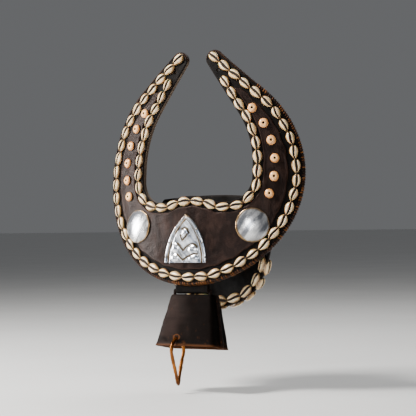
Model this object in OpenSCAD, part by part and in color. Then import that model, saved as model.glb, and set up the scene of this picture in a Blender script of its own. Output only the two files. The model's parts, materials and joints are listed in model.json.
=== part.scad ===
// Leather neck collar for a draught animal: a bent crescent of layered hide, edged with
// cowrie shells, with bone studs, silver trim, a rear apron and a hanging iron bell.
// Millimetres. x runs across the collar, y to the animal, z up.
// The origin is the middle of the neck opening, on the front face.

/* [Collar outline] */
// Bend radius of the front face, about an upright axis
bend_r = 360; // [260:1:500]
// How far the whole collar leans back, in degrees
lean = 6; // [0:0.5:10]
// Radius of the rounded lower outline
outline_r = 178; // [160:1:190]
// Height of the lower outline's centre
outline_z = -26; // [-35:1:-15]
// Sideways place of each horn tip
tip_x = 33; // [30:0.5:38]
// Height of each horn tip
tip_z = 163; // [150:1:175]
// How far the rounded tip's centre lies inside the outer row
tip_in = 1.8; // [0:0.1:3]
// Radius of each rounded horn tip
tip_r = 14.2; // [13:0.1:16]

/* [Neck opening] */
// Width of the leather beside the opening, where that is widest
side_band = 77; // [74:0.5:80]
// Height of the leather below the opening's lower corners
low_band = 133; // [130:0.5:136]
// How much tighter each long curved side is than the lower outline
side_less = 21; // [15:1:27]
// Straight run between a lower corner and the long curved side
side_run = 18; // [14:1:22]
// Angle at which each horn narrows to its tip
horn_taper = 16.6; // [14:0.2:18]
// How much tighter the two lower corners are than the lower outline
corner_less = 138; // [134:0.5:142]
// Radius of the raised middle of the lower edge
rise_r = 110; // [90:1:130]
// Height of that raised middle above the lower corners
rise_up = 10; // [6:0.5:14]

/* [Leather layers] */
// Thickness of the black face leather
face_t = 2.5; // [1.5:0.1:4]
// Thickness of the stiff hide core
core_t = 5; // [3:0.1:8]
// Thickness of the back lining
lining_t = 1.5; // [1:0.1:3]
// Thickness of the brown centre panel
panel_t = 2; // [1:0.1:3]
// Distance from the rim to the panel's edge
panel_in = 22.5; // [20:0.5:28]
// Distance from the neck opening to the panel's edge
panel_out = 17; // [16:0.5:24]
// Height at which the panel ends on each horn
panel_top = 112; // [100:1:116]
// Glue line between layers
glue = 0.1; // [0.05:0.05:0.2]
// Thickness of the laced rim binding
rim_t = 3.2; // [2:0.1:5]
// How far the binding stands out over each face
rim_lap = 0.9; // [0.4:0.1:2]
// Radius of the tie holes near the horn tips
tie_r = 2.5; // [2:0.1:4]
// Distance of each tie hole from the horn tip, along the horn
tie_back = 18.2; // [17:0.1:20]
// Distance of each tie hole from the outer row
tie_in = 11.5; // [11:0.1:12]

/* [Cowrie shells] */
// Length of one shell
shell_l = 21.4; // [19:0.1:22]
// Width of one shell
shell_w = 14.5; // [12:0.1:15]
// Height of one shell above the leather
shell_h = 6.5; // [5:0.1:7]
// Width of the slit at its middle
slit_w = 1.9; // [1:0.1:3]
// Depth of the slit
slit_d = 2.4; // [1:0.1:3]
// How much blunter one end is than the other
shell_skew = 0.12; // [0:0.01:0.2]
// Distance from the rim to the outer row
outer_row_in = 12; // [10:0.5:14]
// Least gap between the shells of the outer row
outer_gap = 1; // [0.6:0.1:1.4]
// Distance from the neck opening to the inner row
inner_row_out = 8.5; // [8:0.5:10]
// How far below the horn tips the inner row ends
inner_row_end = 30; // [28:1:50]
// Spacing of the inner row
inner_pitch = 22.7; // [22:0.1:24]

/* [Bone studs] */
// Diameter of one stud
stud_d = 16; // [12:0.5:18]
// Height of one stud
stud_h = 5; // [3:0.1:7]
// Radius of the thong that holds a stud
thong_r = 1.1; // [0.8:0.1:1.6]
// Clearance of a thong, shank or nail in its hole
hole_fit = 0.1; // [0.05:0.05:0.2]
// Radius of the knot behind the lining
knot_r = 2.4; // [2:0.1:3]
// Studs on each side
stud_n = 6; // [4:1:6]
// Place of the top stud, in degrees above the level of the outline's centre
stud_turn = 46.9; // [46:0.1:48]
// Step from stud to stud, in degrees
stud_step = 12.16; // [11.6:0.01:12.4]
// Distance from the rim to the top stud
stud_in = 34; // [32:0.1:35]
// How much farther in each next stud lies
stud_drift = 2.4; // [2:0.1:3]

/* [Silver trim] */
// Diameter of one disc
disc_d = 55; // [45:1:56]
// Dome height of one disc
disc_h = 5; // [3:0.1:8]
// Sheet thickness of the discs
disc_t = 1.2; // [0.8:0.1:2]
// Distance from the rim to the middle of each disc
disc_in = 45.2; // [45:0.1:48]
// Place of each disc, in degrees below the level of the outline's centre
disc_turn = 38.3; // [36:0.1:41]
// Radius of the shank behind each disc
shank_r = 2; // [1.5:0.1:3]
// Radius of the clinched washer behind the lining
washer_r = 5; // [4:0.5:8]
// Thickness of that washer
washer_t = 1.2; // [0.8:0.1:2]
// Sideways place of the plaque
plaque_x = -6; // [-12:0.5:6]
// Height of the plaque's lower edge above the foot of the rim
plaque_up = 35; // [33:0.5:40]
// Width of the plaque
plaque_w = 76; // [60:1:80]
// Radius of the plaque's two curved sides
plaque_r = 101; // [80:1:110]
// Width of the border strip
border_w = 4.5; // [3:0.1:6]
// Sheet thickness of the plaque
plaque_t = 1; // [0.6:0.1:1.6]
// Thickness of the border strip
border_t = 1.2; // [0.8:0.1:2]
// Radius of the nails in the border strip
nail_r = 0.8; // [0.6:0.1:1.2]

/* [Rear apron] */
// How far the bulge stands behind the front face
apron_y = 90; // [80:1:98]
// Thickness of the apron
apron_t = 4; // [3:0.1:6]
// How much tighter the apron's outline is than the collar's
apron_less = 61; // [56:1:64]
// Sideways place of the apron's outline
apron_x = 14; // [0:1:16]
// How far the centre of the apron's outline lies below that of the collar's
apron_fall = 91; // [86:1:94]
// Height of the apron's arched top edge above the opening's lower corners
apron_rise = 21; // [11:1:25]
// Radius of that arched edge
apron_top_r = 478; // [380:1:500]
// Distance from the widest part of the rim to the flaps that lie on the collar's back
flap_gap = 36; // [33:1:40]
// Width of those flaps
flap_w = 23; // [20:1:27]
// Height of those flaps
flap_h = 46; // [38:1:50]
// How far the flaps' upper ends lie below the centre of the collar's outline
flap_fall = 44; // [43:1:50]
// Distance from the apron's edge to its cowrie row
apron_row_in = 9; // [8:0.5:12]
// Reach of an apron row on each side, in degrees
apron_row_turn = 64; // [50:1:66]
// Spacing of the apron rows
apron_pitch = 29; // [24:0.1:30]
// Thongs that fix each flap
flap_thong_n = 4; // [3:1:5]

/* [Bell hanger] */
// Width of the strap
strap_w = 58; // [50:1:58]
// Thickness of the strap
strap_t = 2.8; // [2:0.1:4]
// Height of the strap's top above the foot of the rim
strap_up = 52; // [46:1:58]
// Drop from the foot of the rim to the bell's swing axis
bar_fall = 8.5; // [7:0.5:12]
// Radius of the staple's bar
bar_r = 2.4; // [2:0.1:3]
// Running clearance round a bar
bar_fit = 0.1; // [0.05:0.01:0.1]
// Radius of the rivets in the strap
strap_rivet_r = 2; // [1.5:0.1:2.5]
// Sideways place of the two strap rivets
strap_rivet_x = 19; // [14:0.5:22]
// Height of the two strap rivets above the foot of the rim
strap_rivet_up = 34; // [30:1:40]

/* [Bell] */
// How far the bell's mouth hangs forward, in degrees
bell_tilt = 10; // [6:0.5:12]
// How far the crown's middle lies behind the swing axis
crown_back = 9.92; // [8:0.01:12]
// Drop from the swing axis to the crown
crown_drop = 6.5; // [6:0.1:9]
// Width of the crown
crown_w = 78; // [70:1:84]
// Depth of the crown
crown_d = 32; // [26:1:34]
// Width of the mouth
mouth_w = 106; // [100:1:120]
// Depth of the mouth
mouth_d = 56; // [52:1:64]
// Height of the bell
bell_h = 84; // [76:1:92]
// Sheet thickness of the bell
bell_t = 2.2; // [1.6:0.1:3]
// Width of the riveted side seams
seam_w = 4.5; // [4:0.1:7]
// Radius of the seam rivets
seam_rivet_r = 1.2; // [1:0.1:1.4]
// Rivets in each side seam
seam_rivet_n = 4; // [3:1:5]
// Sideways place of each staple leg
leg_x = 32.5; // [32:0.5:33.5]

/* [Clapper] */
// Drop from the crown to the clapper's axis
eye_drop = 9; // [8:0.5:12]
// Radius of the eye's bar
eye_r = 1.8; // [1.5:0.1:2.2]
// Half of the distance between the eye's legs
eye_leg_y = 6.5; // [6:0.1:7.5]
// Length from the clapper's axis to the middle of its knob
clapper_l = 58; // [50:1:64]
// Radius of the clapper's rod
rod_r = 1.9; // [1.5:0.1:2.5]
// Radius of the clapper's knob
knob_r = 7; // [5:0.1:8]
// Wall of the clapper's eye
clapper_wall = 2.4; // [1.6:0.1:3]

/* [Loop] */
// Sideways place of the hole in the bell's front wall
hole_x = -14; // [-20:0.5:0]
// Height of that hole above the lip
hole_up = 14; // [12:0.5:18]
// Radius of that hole
hole_r = 4.9; // [4.5:0.1:5.4]
// Radius of the loop's wire
wire_r = 3; // [2.4:0.1:3.3]
// Gap under the wire where it rests in the hole
wire_gap = 0.3; // [0.2:0.05:0.5]
// Bend radius of the loop's round end
loop_r = 20; // [16:0.5:22]
// Length of the loop, from the middle of the wire at the hole to that at the point
loop_l = 74; // [64:1:80]

/* [Hidden] */
$fn = 64;
// Straight runs cross the arcs that they meet at a slight angle, or lie just inside them
join_angle = 4;
join_ease = 0.3;
// Collar layers, as distances in from the front face
core_at = face_t + glue;
lining_at = core_at + core_t + glue;
back_at = lining_at + lining_t;
// Straight part of the outer row and of the rim
row_r = outline_r - outer_row_in;
tip_reach = norm([tip_x, tip_z - outline_z]);
rim_turn = atan2(tip_z - outline_z, tip_x) - acos(row_r / tip_reach);
row_arc = row_r * (rim_turn + 90) * PI / 180;
row_len = row_arc + sqrt(tip_reach * tip_reach - row_r * row_r);
outer_row_n = floor(row_len / (shell_l + outer_gap));
outer_pitch = row_len / outer_row_n;
rim_low = outline_z - outline_r;
// Neck opening, which keeps the leather round it as wide when the outline changes
side_x = outline_r - side_band;
side_r = outline_r - side_less;
side_cx = side_x - side_r;
side_turn = rim_turn - horn_taper;
corner_r = outline_r - corner_less;
corner_x = side_x - corner_r;
low_z = rim_low + low_band;
corner_z = low_z + corner_r;
side_z = corner_z + side_run;
rise_cz = low_z + rise_up - rise_r;
slot_x = tip_x - tip_in * cos(rim_turn) - tip_r - join_ease;
// Where the long curved sides have come back inside the straight ones below
side_low = side_z - sqrt(2 * side_r * join_ease) - 1;
// Inner row, measured from the middle of the lower edge
in_rise_r = rise_r - inner_row_out;
in_low_z = low_z - inner_row_out;
in_rise_x = sqrt(pow(in_rise_r, 2) - pow(in_low_z - rise_cz, 2));
in_corner_r = corner_r + inner_row_out;
in_side_r = side_r + inner_row_out;
in_1 = in_rise_r * asin(in_rise_x / in_rise_r) * PI / 180;
in_2 = in_1 + corner_x - in_rise_x;
in_3 = in_2 + in_corner_r * PI / 2;
in_4 = in_3 + side_z - corner_z;
in_5 = in_4 + in_side_r * side_turn * PI / 180;
in_end = in_5 + (tip_z - inner_row_end - side_z - in_side_r * sin(side_turn)) / cos(side_turn);
inner_row_n = floor(in_end / inner_pitch);
// Tie holes, discs and plaque
tie_x = tip_x - tie_in * cos(rim_turn) + tie_back * sin(rim_turn);
tie_z = tip_z - tie_in * sin(rim_turn) - tie_back * cos(rim_turn);
disc_x = (outline_r - disc_in) * cos(disc_turn);
disc_z = outline_z - (outline_r - disc_in) * sin(disc_turn);
plaque_z = rim_low + plaque_up;
// Apron: its bulge meets the collar's back at the middle of each flap
flap_at = back_at + glue;
flap_out = outline_r - flap_gap;
flap_mid = flap_out - flap_w / 2;
flap_low = outline_z - flap_fall - flap_h;
bulge = apron_y - bend_r + sqrt(pow(bend_r - flap_at, 2) - pow(flap_mid, 2));
apron_r = (pow(flap_mid, 2) + pow(bulge, 2)) / (2 * bulge);
apron_cy = apron_y - apron_r;
apron_edge_r = outline_r - apron_less;
apron_z = outline_z - apron_fall;
apron_top = low_z + apron_rise;
apron_row_r = apron_edge_r - apron_row_in;
apron_row_n = floor(apron_row_r * apron_row_turn * PI / 180 / apron_pitch);
// Swing axis of the bell in the collar's own frame; the strap lies flat across the hollow back,
// over the binding
strap_top = rim_low + strap_up;
strap_rivet_z = rim_low + strap_rivet_up;
bar_z = rim_low - bar_fall;
strap_y = bend_r - sqrt(pow(bend_r - back_at, 2) - pow(strap_w / 2, 2)) + rim_lap + glue;
bar_y = strap_y + strap_t + bar_fit + bar_r;
fold_y = strap_y + strap_t + glue;
bell_y = bar_y * cos(lean) + bar_z * sin(lean);
bell_z = bar_z * cos(lean) - bar_y * sin(lean);
// Bell
crown_z = -crown_drop;
lip_z = crown_z - bell_h;
eye_z = crown_z - bell_t - eye_drop;
hole_z = lip_z + hole_up;
hole_wall = (crown_d + (mouth_d - crown_d) * (bell_h - hole_up) / bell_h) / 2 - bell_t / 2;
hole_y = crown_back - hole_wall;
wire_drop = hole_r - wire_r - wire_gap;
loop_turn = asin(loop_r / (loop_l - loop_r));
// The same places in the shared frame
eye_at = to_shared([0, crown_back, eye_z]);
hole_at = to_shared([hole_x, hole_y, hole_z]);
wire_at = hole_at - [0, 0, wire_drop];

echo(bell_axis = [0, bell_y, bell_z], clapper_axis = eye_at, loop_axis = hole_at);
echo(tie_hole = [tie_x, tie_z]);

// A point of the bell's own frame in the shared frame
function to_shared(p) = [p[0],
    bell_y + p[1] * cos(bell_tilt) + p[2] * sin(bell_tilt),
    bell_z - p[1] * sin(bell_tilt) + p[2] * cos(bell_tilt)];

// Place and heading on the outer row, at a distance from the bottom shell
function outer_row(s) = s <= row_arc
    ? on_arc([0, outline_z], row_r, -90 + s / row_r * 180 / PI)
    : run_on(on_arc([0, outline_z], row_r, rim_turn), s - row_arc);

// Place and heading on the inner row, at a distance from the middle
function inner_row(s) = s <= in_1 ? rise_at(s / in_rise_r * 180 / PI)
    : s <= in_2 ? [in_rise_x + s - in_1, in_low_z, 0]
    : s <= in_3 ? on_arc([corner_x, corner_z], in_corner_r, -90 + (s - in_2) / in_corner_r * 180 / PI)
    : s <= in_4 ? [corner_x + in_corner_r, corner_z + s - in_3, 90]
    : s <= in_5 ? on_arc([side_cx, side_z], in_side_r, (s - in_4) / in_side_r * 180 / PI)
    : run_on(on_arc([side_cx, side_z], in_side_r, side_turn), s - in_5);

// Place of a stud on the right side, counted from the top
function stud_at(i) = on_arc([0, outline_z], outline_r - stud_in - i * stud_drift, stud_turn - i * stud_step);

function on_arc(c, r, a) = [c[0] + r * cos(a), c[1] + r * sin(a), a + 90];
function run_on(p, s) = [p[0] + s * cos(p[2]), p[1] + s * sin(p[2]), p[2]];
function rise_at(a) = [in_rise_r * sin(a), rise_cz + in_rise_r * cos(a), -a];

// Half width of a shell at a place along it, from -1 to 1
function shell_half(t) = shell_w / 2 * sqrt(1 - t * t) * (1 + shell_skew * t);

// Rim outline, drawn in by a distance
module rim_shape(d) {
    reach = (outline_r - d) * cos(join_angle);
    translate([0, outline_z]) {
        circle(outline_r - d);
        polygon([[0, 0],
            [reach * cos(rim_turn), reach * sin(rim_turn)],
            [0, reach / sin(rim_turn)],
            [-reach * cos(rim_turn), reach * sin(rim_turn)]]);
    }
}

// The rim outline with its horns rounded off
module crescent(d) {
    difference() {
        rim_shape(d);
        each_tip()
            translate([-1.2 * tip_x, 2])
                square([2.4 * tip_x, 1.2 * tip_x]);
    }
    each_tip()
        circle(tip_r - d);
}

// The centre of each rounded horn tip, with y along the horn
module each_tip() {
    for (side = [-1, 1])
        translate([side * tip_x, tip_z])
            rotate(side * rim_turn)
                translate([-side * tip_in, 0])
                    children();
}

// One long curved side of the neck opening, with its straight run to the horn tip
module opening_side(d) {
    r = side_r + d;
    reach = 160;
    translate([side_cx, side_z]) {
        circle(r);
        rotate(side_turn)
            square([r * cos(join_angle), reach]);
    }
}

// Neck opening, grown by a distance
module opening_shape(d) {
    tall = 260;
    intersection() {
        opening_side(d);
        mirror([1, 0])
            opening_side(d);
        translate([-side_r, side_low])
            square([2 * side_r, tall]);
    }
    translate([-slot_x - d, 0])
        square([2 * (slot_x + d), tall]);
    difference() {
        union() {
            translate([join_ease - side_x - d, corner_z])
                square([2 * (side_x + d - join_ease), side_z - corner_z]);
            translate([-corner_x, low_z - d + join_ease])
                square([2 * corner_x, corner_r + d]);
            for (side = [-1, 1])
                translate([side * corner_x, corner_z])
                    circle(corner_r + d);
        }
        translate([0, rise_cz])
            circle(rise_r - d);
    }
}

// Upright wall between two distances in from the front face, bent to the collar's radius
module bent(from, to) {
    tall = 520;
    depth = 130;
    intersection() {
        translate([0, 0, -tall / 2])
            translate([0, bend_r, 0])
                difference() {
                    cylinder(h = tall, r = bend_r - from, $fn = 180);
                    translate([0, 0, -1])
                        cylinder(h = tall + 2, r = bend_r - to, $fn = 180);
                }
        translate([0, depth, 0])
            rotate([90, 0, 0])
                linear_extrude(depth + 20)
                    children();
    }
}

// Stands a child on the front face, with its z outward and its y up
module on_face(x, z) {
    turn = asin(x / bend_r);
    translate([x, bend_r - bend_r * cos(turn), z])
        rotate([0, 0, turn])
            rotate([90, 0, 0])
                children();
}

// Stands a child on the apron's rear side, with its z outward
module on_apron_back(x, z) {
    turn = asin(x / apron_r);
    translate([x, apron_cy + apron_r * cos(turn), z])
        rotate([0, 0, -turn])
            rotate([-90, 0, 0])
                children();
}

// Stands a child on the apron's front side, with its z outward
module on_apron_front(x, z) {
    hollow_r = apron_r - apron_t;
    turn = asin(x / hollow_r);
    translate([x, apron_cy + hollow_r * cos(turn), z])
        rotate([0, 0, -turn])
            rotate([90, 0, 0])
                children();
}

module collar_frame() {
    rotate([-lean, 0, 0])
        children();
}

module bell_frame() {
    translate([0, bell_y, bell_z])
        rotate([-bell_tilt, 0, 0])
            children();
}

// Holes along the face's normal, deep enough for every layer
module face_holes(r) {
    reach = 40;
    translate([0, 0, -reach / 2])
        cylinder(h = reach, r = r, $fn = 24);
}

module each_tie() {
    for (side = [-1, 1])
        on_face(side * tie_x, tie_z)
            children();
}

module each_stud(side) {
    for (i = [0 : stud_n - 1])
        on_face(side * stud_at(i)[0], stud_at(i)[1])
            children();
}

module each_disc() {
    for (side = [-1, 1])
        on_face(side * disc_x, disc_z)
            children();
}

// Nail places: along both curved sides of the border, and one at the point
module each_nail() {
    mid_r = plaque_r - border_w / 2;
    for (side = [-1, 1], a = [5, 19, 33])
        on_face(plaque_x + side * (plaque_w / 2 - plaque_r + mid_r * cos(a)), plaque_z + mid_r * sin(a))
            children();
}

module each_flap_thong() {
    step = (flap_h - 16) / (flap_thong_n - 1);
    for (side = [-1, 1], i = [0 : flap_thong_n - 1])
        on_face(side * (flap_out - 7), flap_low + 8 + i * step)
            children();
}

module each_strap_rivet() {
    for (side = [-1, 1])
        translate([side * strap_rivet_x, strap_y, strap_rivet_z])
            rotate([90, 0, 0])
                children();
}

// Holes that pass through the face leather
module show_side_holes() {
    each_tie()
        face_holes(tie_r);
    for (side = [-1, 1])
        each_stud(side)
            face_holes(thong_r + hole_fit);
    each_disc()
        face_holes(shank_r + hole_fit);
    each_nail()
        face_holes(nail_r + hole_fit);
}

// Holes for the pieces that the face leather hides
module back_side_holes() {
    each_flap_thong()
        face_holes(thong_r + hole_fit);
    each_strap_rivet()
        face_holes(strap_rivet_r + hole_fit);
}

module crescent_layer(from, to) {
    difference() {
        bent(from, to)
            difference() {
                crescent(0);
                opening_shape(0);
            }
        children();
    }
}

module collar_core() {
    color([0.35, 0.25, 0.17])
        collar_frame()
            crescent_layer(core_at, core_at + core_t) {
                show_side_holes();
                back_side_holes();
            }
}

module face_leather() {
    color([0.07, 0.06, 0.065])
        collar_frame()
            crescent_layer(0, face_t)
                show_side_holes();
}

module back_lining() {
    color([0.3, 0.21, 0.15])
        collar_frame()
            crescent_layer(lining_at, back_at) {
                show_side_holes();
                back_side_holes();
            }
}

module center_panel() {
    color([0.24, 0.2, 0.2])
        collar_frame()
            difference() {
                bent(-glue - panel_t, -glue)
                    difference() {
                        intersection() {
                            rim_shape(panel_in);
                            translate([-outline_r, -2 * outline_r + panel_top])
                                square(2 * outline_r);
                        }
                        opening_shape(panel_out);
                    }
                show_side_holes();
            }
}

// Binding laced over the rim, open along the neck opening
module rim_binding() {
    color([0.42, 0.22, 0.1])
        collar_frame()
            bent(-rim_lap, back_at + rim_lap)
                difference() {
                    crescent(-rim_t);
                    crescent(-glue);
                    opening_shape(0);
                }
}

// One shell, flat below, with its slit upward and its length along x
module cowrie(lift) {
    steps = 10;
    slit_half = shell_l * 0.4;
    slit_r = (pow(slit_half, 2) + pow(slit_w / 2, 2)) / slit_w;
    translate([0, 0, lift])
        difference() {
            translate([0, 0, shell_h - shell_w / 2])
                rotate([0, 90, 0])
                    rotate_extrude($fn = 32)
                        polygon(concat([[0, -shell_l / 2]],
                            [for (i = [1 : steps - 1]) let (t = -cos(180 * i / steps))
                                [shell_half(t), t * shell_l / 2]],
                            [[0, shell_l / 2]]));
            translate([-shell_l, -shell_l, -shell_l])
                cube([2 * shell_l, 2 * shell_l, shell_l]);
            translate([0, 0, shell_h - slit_d])
                intersection() {
                    translate([0, slit_r - slit_w / 2, 0])
                        cylinder(h = shell_h, r = slit_r);
                    translate([0, slit_w / 2 - slit_r, 0])
                        cylinder(h = shell_h, r = slit_r);
                }
        }
}

module shell_on_face(p) {
    on_face(p[0], p[1])
        rotate([0, 0, p[2]])
            cowrie(glue);
}

module outer_cowries_left() {
    color([0.92, 0.87, 0.76])
        collar_frame() {
            shell_on_face(outer_row(0));
            for (i = [1 : outer_row_n]) {
                p = outer_row(i * outer_pitch);
                shell_on_face([-p[0], p[1], 180 - p[2]]);
            }
        }
}

module outer_cowries_right() {
    color([0.92, 0.87, 0.76])
        collar_frame()
            for (i = [1 : outer_row_n])
                shell_on_face(outer_row(i * outer_pitch));
}

module inner_cowries_left() {
    color([0.92, 0.87, 0.76])
        collar_frame()
            for (i = [0 : inner_row_n - 1]) {
                p = inner_row((i + 0.5) * inner_pitch);
                shell_on_face([-p[0], p[1], 180 - p[2]]);
            }
}

module inner_cowries_right() {
    color([0.92, 0.87, 0.76])
        collar_frame()
            for (i = [0 : inner_row_n - 1])
                shell_on_face(inner_row((i + 0.5) * inner_pitch));
}

// A domed bead with a hole along its middle
module bone_stud() {
    dome_r = (pow(stud_d / 2, 2) + pow(stud_h, 2)) / (2 * stud_h);
    translate([0, 0, panel_t + 2 * glue])
        difference() {
            intersection() {
                translate([0, 0, stud_h - dome_r])
                    sphere(dome_r);
                cylinder(h = stud_h, r = stud_d / 2 - 0.4);
            }
            translate([0, 0, -1])
                cylinder(h = stud_h + 2, r = thong_r + hole_fit, $fn = 24);
        }
}

module bone_studs_left() {
    color([0.86, 0.7, 0.5])
        collar_frame()
            each_stud(-1)
                bone_stud();
}

module bone_studs_right() {
    color([0.86, 0.7, 0.5])
        collar_frame()
            each_stud(1)
                bone_stud();
}

// A thong from just inside a stud to a knot behind the lining
module stud_thongs() {
    front = panel_t + stud_h * 0.6;
    color([0.2, 0.13, 0.09])
        collar_frame()
            for (side = [-1, 1])
                each_stud(side) {
                    translate([0, 0, -back_at - knot_r])
                        cylinder(h = back_at + knot_r + front, r = thong_r, $fn = 24);
                    translate([0, 0, -back_at - glue - knot_r])
                        sphere(knot_r, $fn = 24);
                }
}

module silver_disc() {
    dome_r = (pow(disc_d / 2, 2) + pow(disc_h, 2)) / (2 * disc_h);
    translate([0, 0, panel_t + 2 * glue])
        difference() {
            intersection() {
                translate([0, 0, disc_h - dome_r])
                    sphere(dome_r, $fn = 128);
                cylinder(h = disc_h, r = disc_d / 2 - 0.3);
            }
            intersection() {
                translate([0, 0, disc_h - dome_r])
                    sphere(dome_r - disc_t, $fn = 128);
                translate([0, 0, -1])
                    cylinder(h = disc_h + 1, r = disc_d / 2 - disc_t - 1);
            }
        }
}

module silver_disc_left() {
    color([0.75, 0.77, 0.8])
        collar_frame()
            on_face(-disc_x, disc_z)
                silver_disc();
}

module silver_disc_right() {
    color([0.75, 0.77, 0.8])
        collar_frame()
            on_face(disc_x, disc_z)
                silver_disc();
}

// Shanks that hold the discs, clinched over a washer behind the lining
module disc_shanks() {
    top = panel_t + disc_h - disc_t;
    foot = back_at + glue + washer_t;
    color([0.55, 0.53, 0.5])
        collar_frame()
            each_disc() {
                translate([0, 0, -foot])
                    cylinder(h = foot + top, r = shank_r, $fn = 24);
                translate([0, 0, -foot])
                    cylinder(h = washer_t, r = washer_r, $fn = 32);
            }
}

// Pointed arch, with its two curved sides drawn in by a distance
module arch(d) {
    intersection() {
        translate([plaque_x + plaque_w / 2 - plaque_r, plaque_z])
            circle(plaque_r - d);
        translate([plaque_x - plaque_w / 2 + plaque_r, plaque_z])
            circle(plaque_r - d);
        translate([plaque_x - plaque_w, plaque_z])
            square(2 * plaque_w);
    }
}

module plaque_panel() {
    base = panel_t + 2 * glue;
    color([0.78, 0.8, 0.84])
        collar_frame()
            difference() {
                bent(-base - plaque_t, -base)
                    arch(0);
                each_nail()
                    face_holes(nail_r + hole_fit);
            }
}

module plaque_border() {
    base = panel_t + plaque_t + 3 * glue;
    color([0.72, 0.72, 0.72])
        collar_frame()
            difference() {
                bent(-base - border_t, -base)
                    difference() {
                        arch(0);
                        arch(border_w);
                    }
                each_nail()
                    face_holes(nail_r + hole_fit);
            }
}

// Nails with low heads on the border, driven through to the core
module plaque_nails() {
    head_at = panel_t + plaque_t + border_t + 4 * glue;
    foot = core_at + core_t / 2;
    color([0.5, 0.47, 0.42])
        collar_frame()
            each_nail() {
                translate([0, 0, -foot])
                    cylinder(h = foot + head_at + 0.2, r = nail_r, $fn = 20);
                translate([0, 0, head_at])
                    cylinder(h = 0.7, r = nail_r * 1.9, $fn = 20);
            }
}

// Rear apron: a bulged bib that hangs a little to one side, with a wing on each side that ends
// in a flap on the collar's back
module chest_apron() {
    tall = 520;
    binding_clear = 0.3;
    color([0.12, 0.09, 0.08])
        collar_frame()
            difference() {
                union() {
                    intersection() {
                        translate([0, apron_cy, -tall / 2])
                            difference() {
                                cylinder(h = tall, r = apron_r, $fn = 180);
                                translate([0, 0, -1])
                                    cylinder(h = tall + 2, r = apron_r - apron_t, $fn = 180);
                            }
                        translate([0, bend_r, -tall / 2])
                            cylinder(h = tall, r = bend_r - back_at - rim_lap - binding_clear, $fn = 180);
                        translate([0, apron_y + 20, 0])
                            rotate([90, 0, 0])
                                linear_extrude(apron_y + 20)
                                    intersection() {
                                        union() {
                                            translate([apron_x, apron_z])
                                                circle(apron_edge_r);
                                            translate([-flap_out, flap_low])
                                                square([2 * flap_out, flap_h]);
                                        }
                                        translate([0, apron_top - apron_top_r])
                                            circle(apron_top_r);
                                    }
                    }
                    for (side = [-1, 1])
                        bent(flap_at, flap_at + apron_t)
                            translate([side * flap_mid - flap_w / 2, flap_low])
                                square([flap_w, flap_h]);
                }
                each_flap_thong()
                    face_holes(thong_r + hole_fit);
            }
}

// Thongs from the core through lining and flap, knotted behind
module apron_thongs() {
    foot = flap_at + apron_t + glue;
    color([0.2, 0.13, 0.09])
        collar_frame()
            each_flap_thong() {
                translate([0, 0, -foot - knot_r])
                    cylinder(h = foot + knot_r - core_at, r = thong_r, $fn = 24);
                translate([0, 0, -foot - knot_r])
                    sphere(knot_r, $fn = 24);
            }
}

// Place and heading of each shell on the apron, from the middle outward
function apron_row(i) =
    on_arc([apron_x, apron_z], apron_row_r, -90 + i * apron_pitch / apron_row_r * 180 / PI);

module apron_cowries_front() {
    hollow_lift = 0.5;
    color([0.88, 0.83, 0.72])
        collar_frame()
            for (i = [-apron_row_n : apron_row_n]) {
                p = apron_row(i);
                on_apron_front(p[0], p[1])
                    rotate([0, 0, p[2]])
                        cowrie(hollow_lift);
            }
}

module apron_cowries_back() {
    color([0.88, 0.83, 0.72])
        collar_frame()
            for (i = [-apron_row_n : apron_row_n]) {
                p = apron_row(i);
                on_apron_back(p[0], p[1])
                    rotate([0, 0, -p[2]])
                        cowrie(glue);
            }
}

// Strap folded round the staple's bar, seen from the side: two plies and a loop
module strap_profile() {
    loop_in = bar_r + bar_fit;
    loop_out = loop_in + strap_t;
    bend_at = bar_z + 16;
    slant_ease = 0.3;
    difference() {
        translate([bar_y, bar_z])
            circle(loop_out);
        translate([bar_y - 2 * loop_out, bar_z])
            square(4 * loop_out);
        translate([bar_y, bar_z])
            circle(loop_in);
    }
    translate([strap_y, bar_z])
        square([strap_t, strap_top - bar_z]);
    polygon([[bar_y + loop_in + slant_ease, bar_z], [bar_y + loop_out + slant_ease, bar_z],
        [fold_y + strap_t, bend_at], [fold_y + strap_t, strap_top - 4],
        [fold_y, strap_top - 4], [fold_y, bend_at]]);
}

module hanger_strap() {
    color([0.1, 0.075, 0.07])
        collar_frame()
            difference() {
                translate([-strap_w / 2, 0, 0])
                    rotate([90, 0, 90])
                        linear_extrude(strap_w)
                            strap_profile();
                each_strap_rivet()
                    face_holes(strap_rivet_r + hole_fit);
            }
}

// Rivets from the core through the strap's two plies, with round heads behind
module hanger_rivets() {
    head_at = fold_y + strap_t + glue - strap_y;
    color([0.3, 0.26, 0.24])
        collar_frame()
            each_strap_rivet() {
                translate([0, 0, -head_at])
                    cylinder(h = head_at + strap_y - core_at - 1, r = strap_rivet_r, $fn = 24);
                translate([0, 0, -head_at - 1.4])
                    cylinder(h = 1.4, r = strap_rivet_r * 2, $fn = 24);
            }
}

// Four sloped walls, as a solid, with its sides drawn in by a distance
module bell_block(d, top, low) {
    flare_w = (mouth_w - crown_w) / 2 / bell_h;
    flare_d = (mouth_d - crown_d) / 2 / bell_h;
    top_w = crown_w / 2 - d + flare_w * (crown_z - top);
    low_w = crown_w / 2 - d + flare_w * (crown_z - low);
    top_d = crown_d / 2 - d + flare_d * (crown_z - top);
    low_d = crown_d / 2 - d + flare_d * (crown_z - low);
    intersection() {
        translate([0, mouth_d + crown_back, 0])
            rotate([90, 0, 0])
                linear_extrude(2 * mouth_d)
                    polygon([[-top_w, top], [top_w, top], [low_w, low], [-low_w, low]]);
        translate([-mouth_w, crown_back, 0])
            rotate([90, 0, 90])
                linear_extrude(2 * mouth_w)
                    polygon([[-top_d, top], [top_d, top], [low_d, low], [-low_d, low]]);
    }
}

module each_leg() {
    for (side = [-1, 1])
        translate([side * leg_x, 0, 0])
            children();
}

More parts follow.
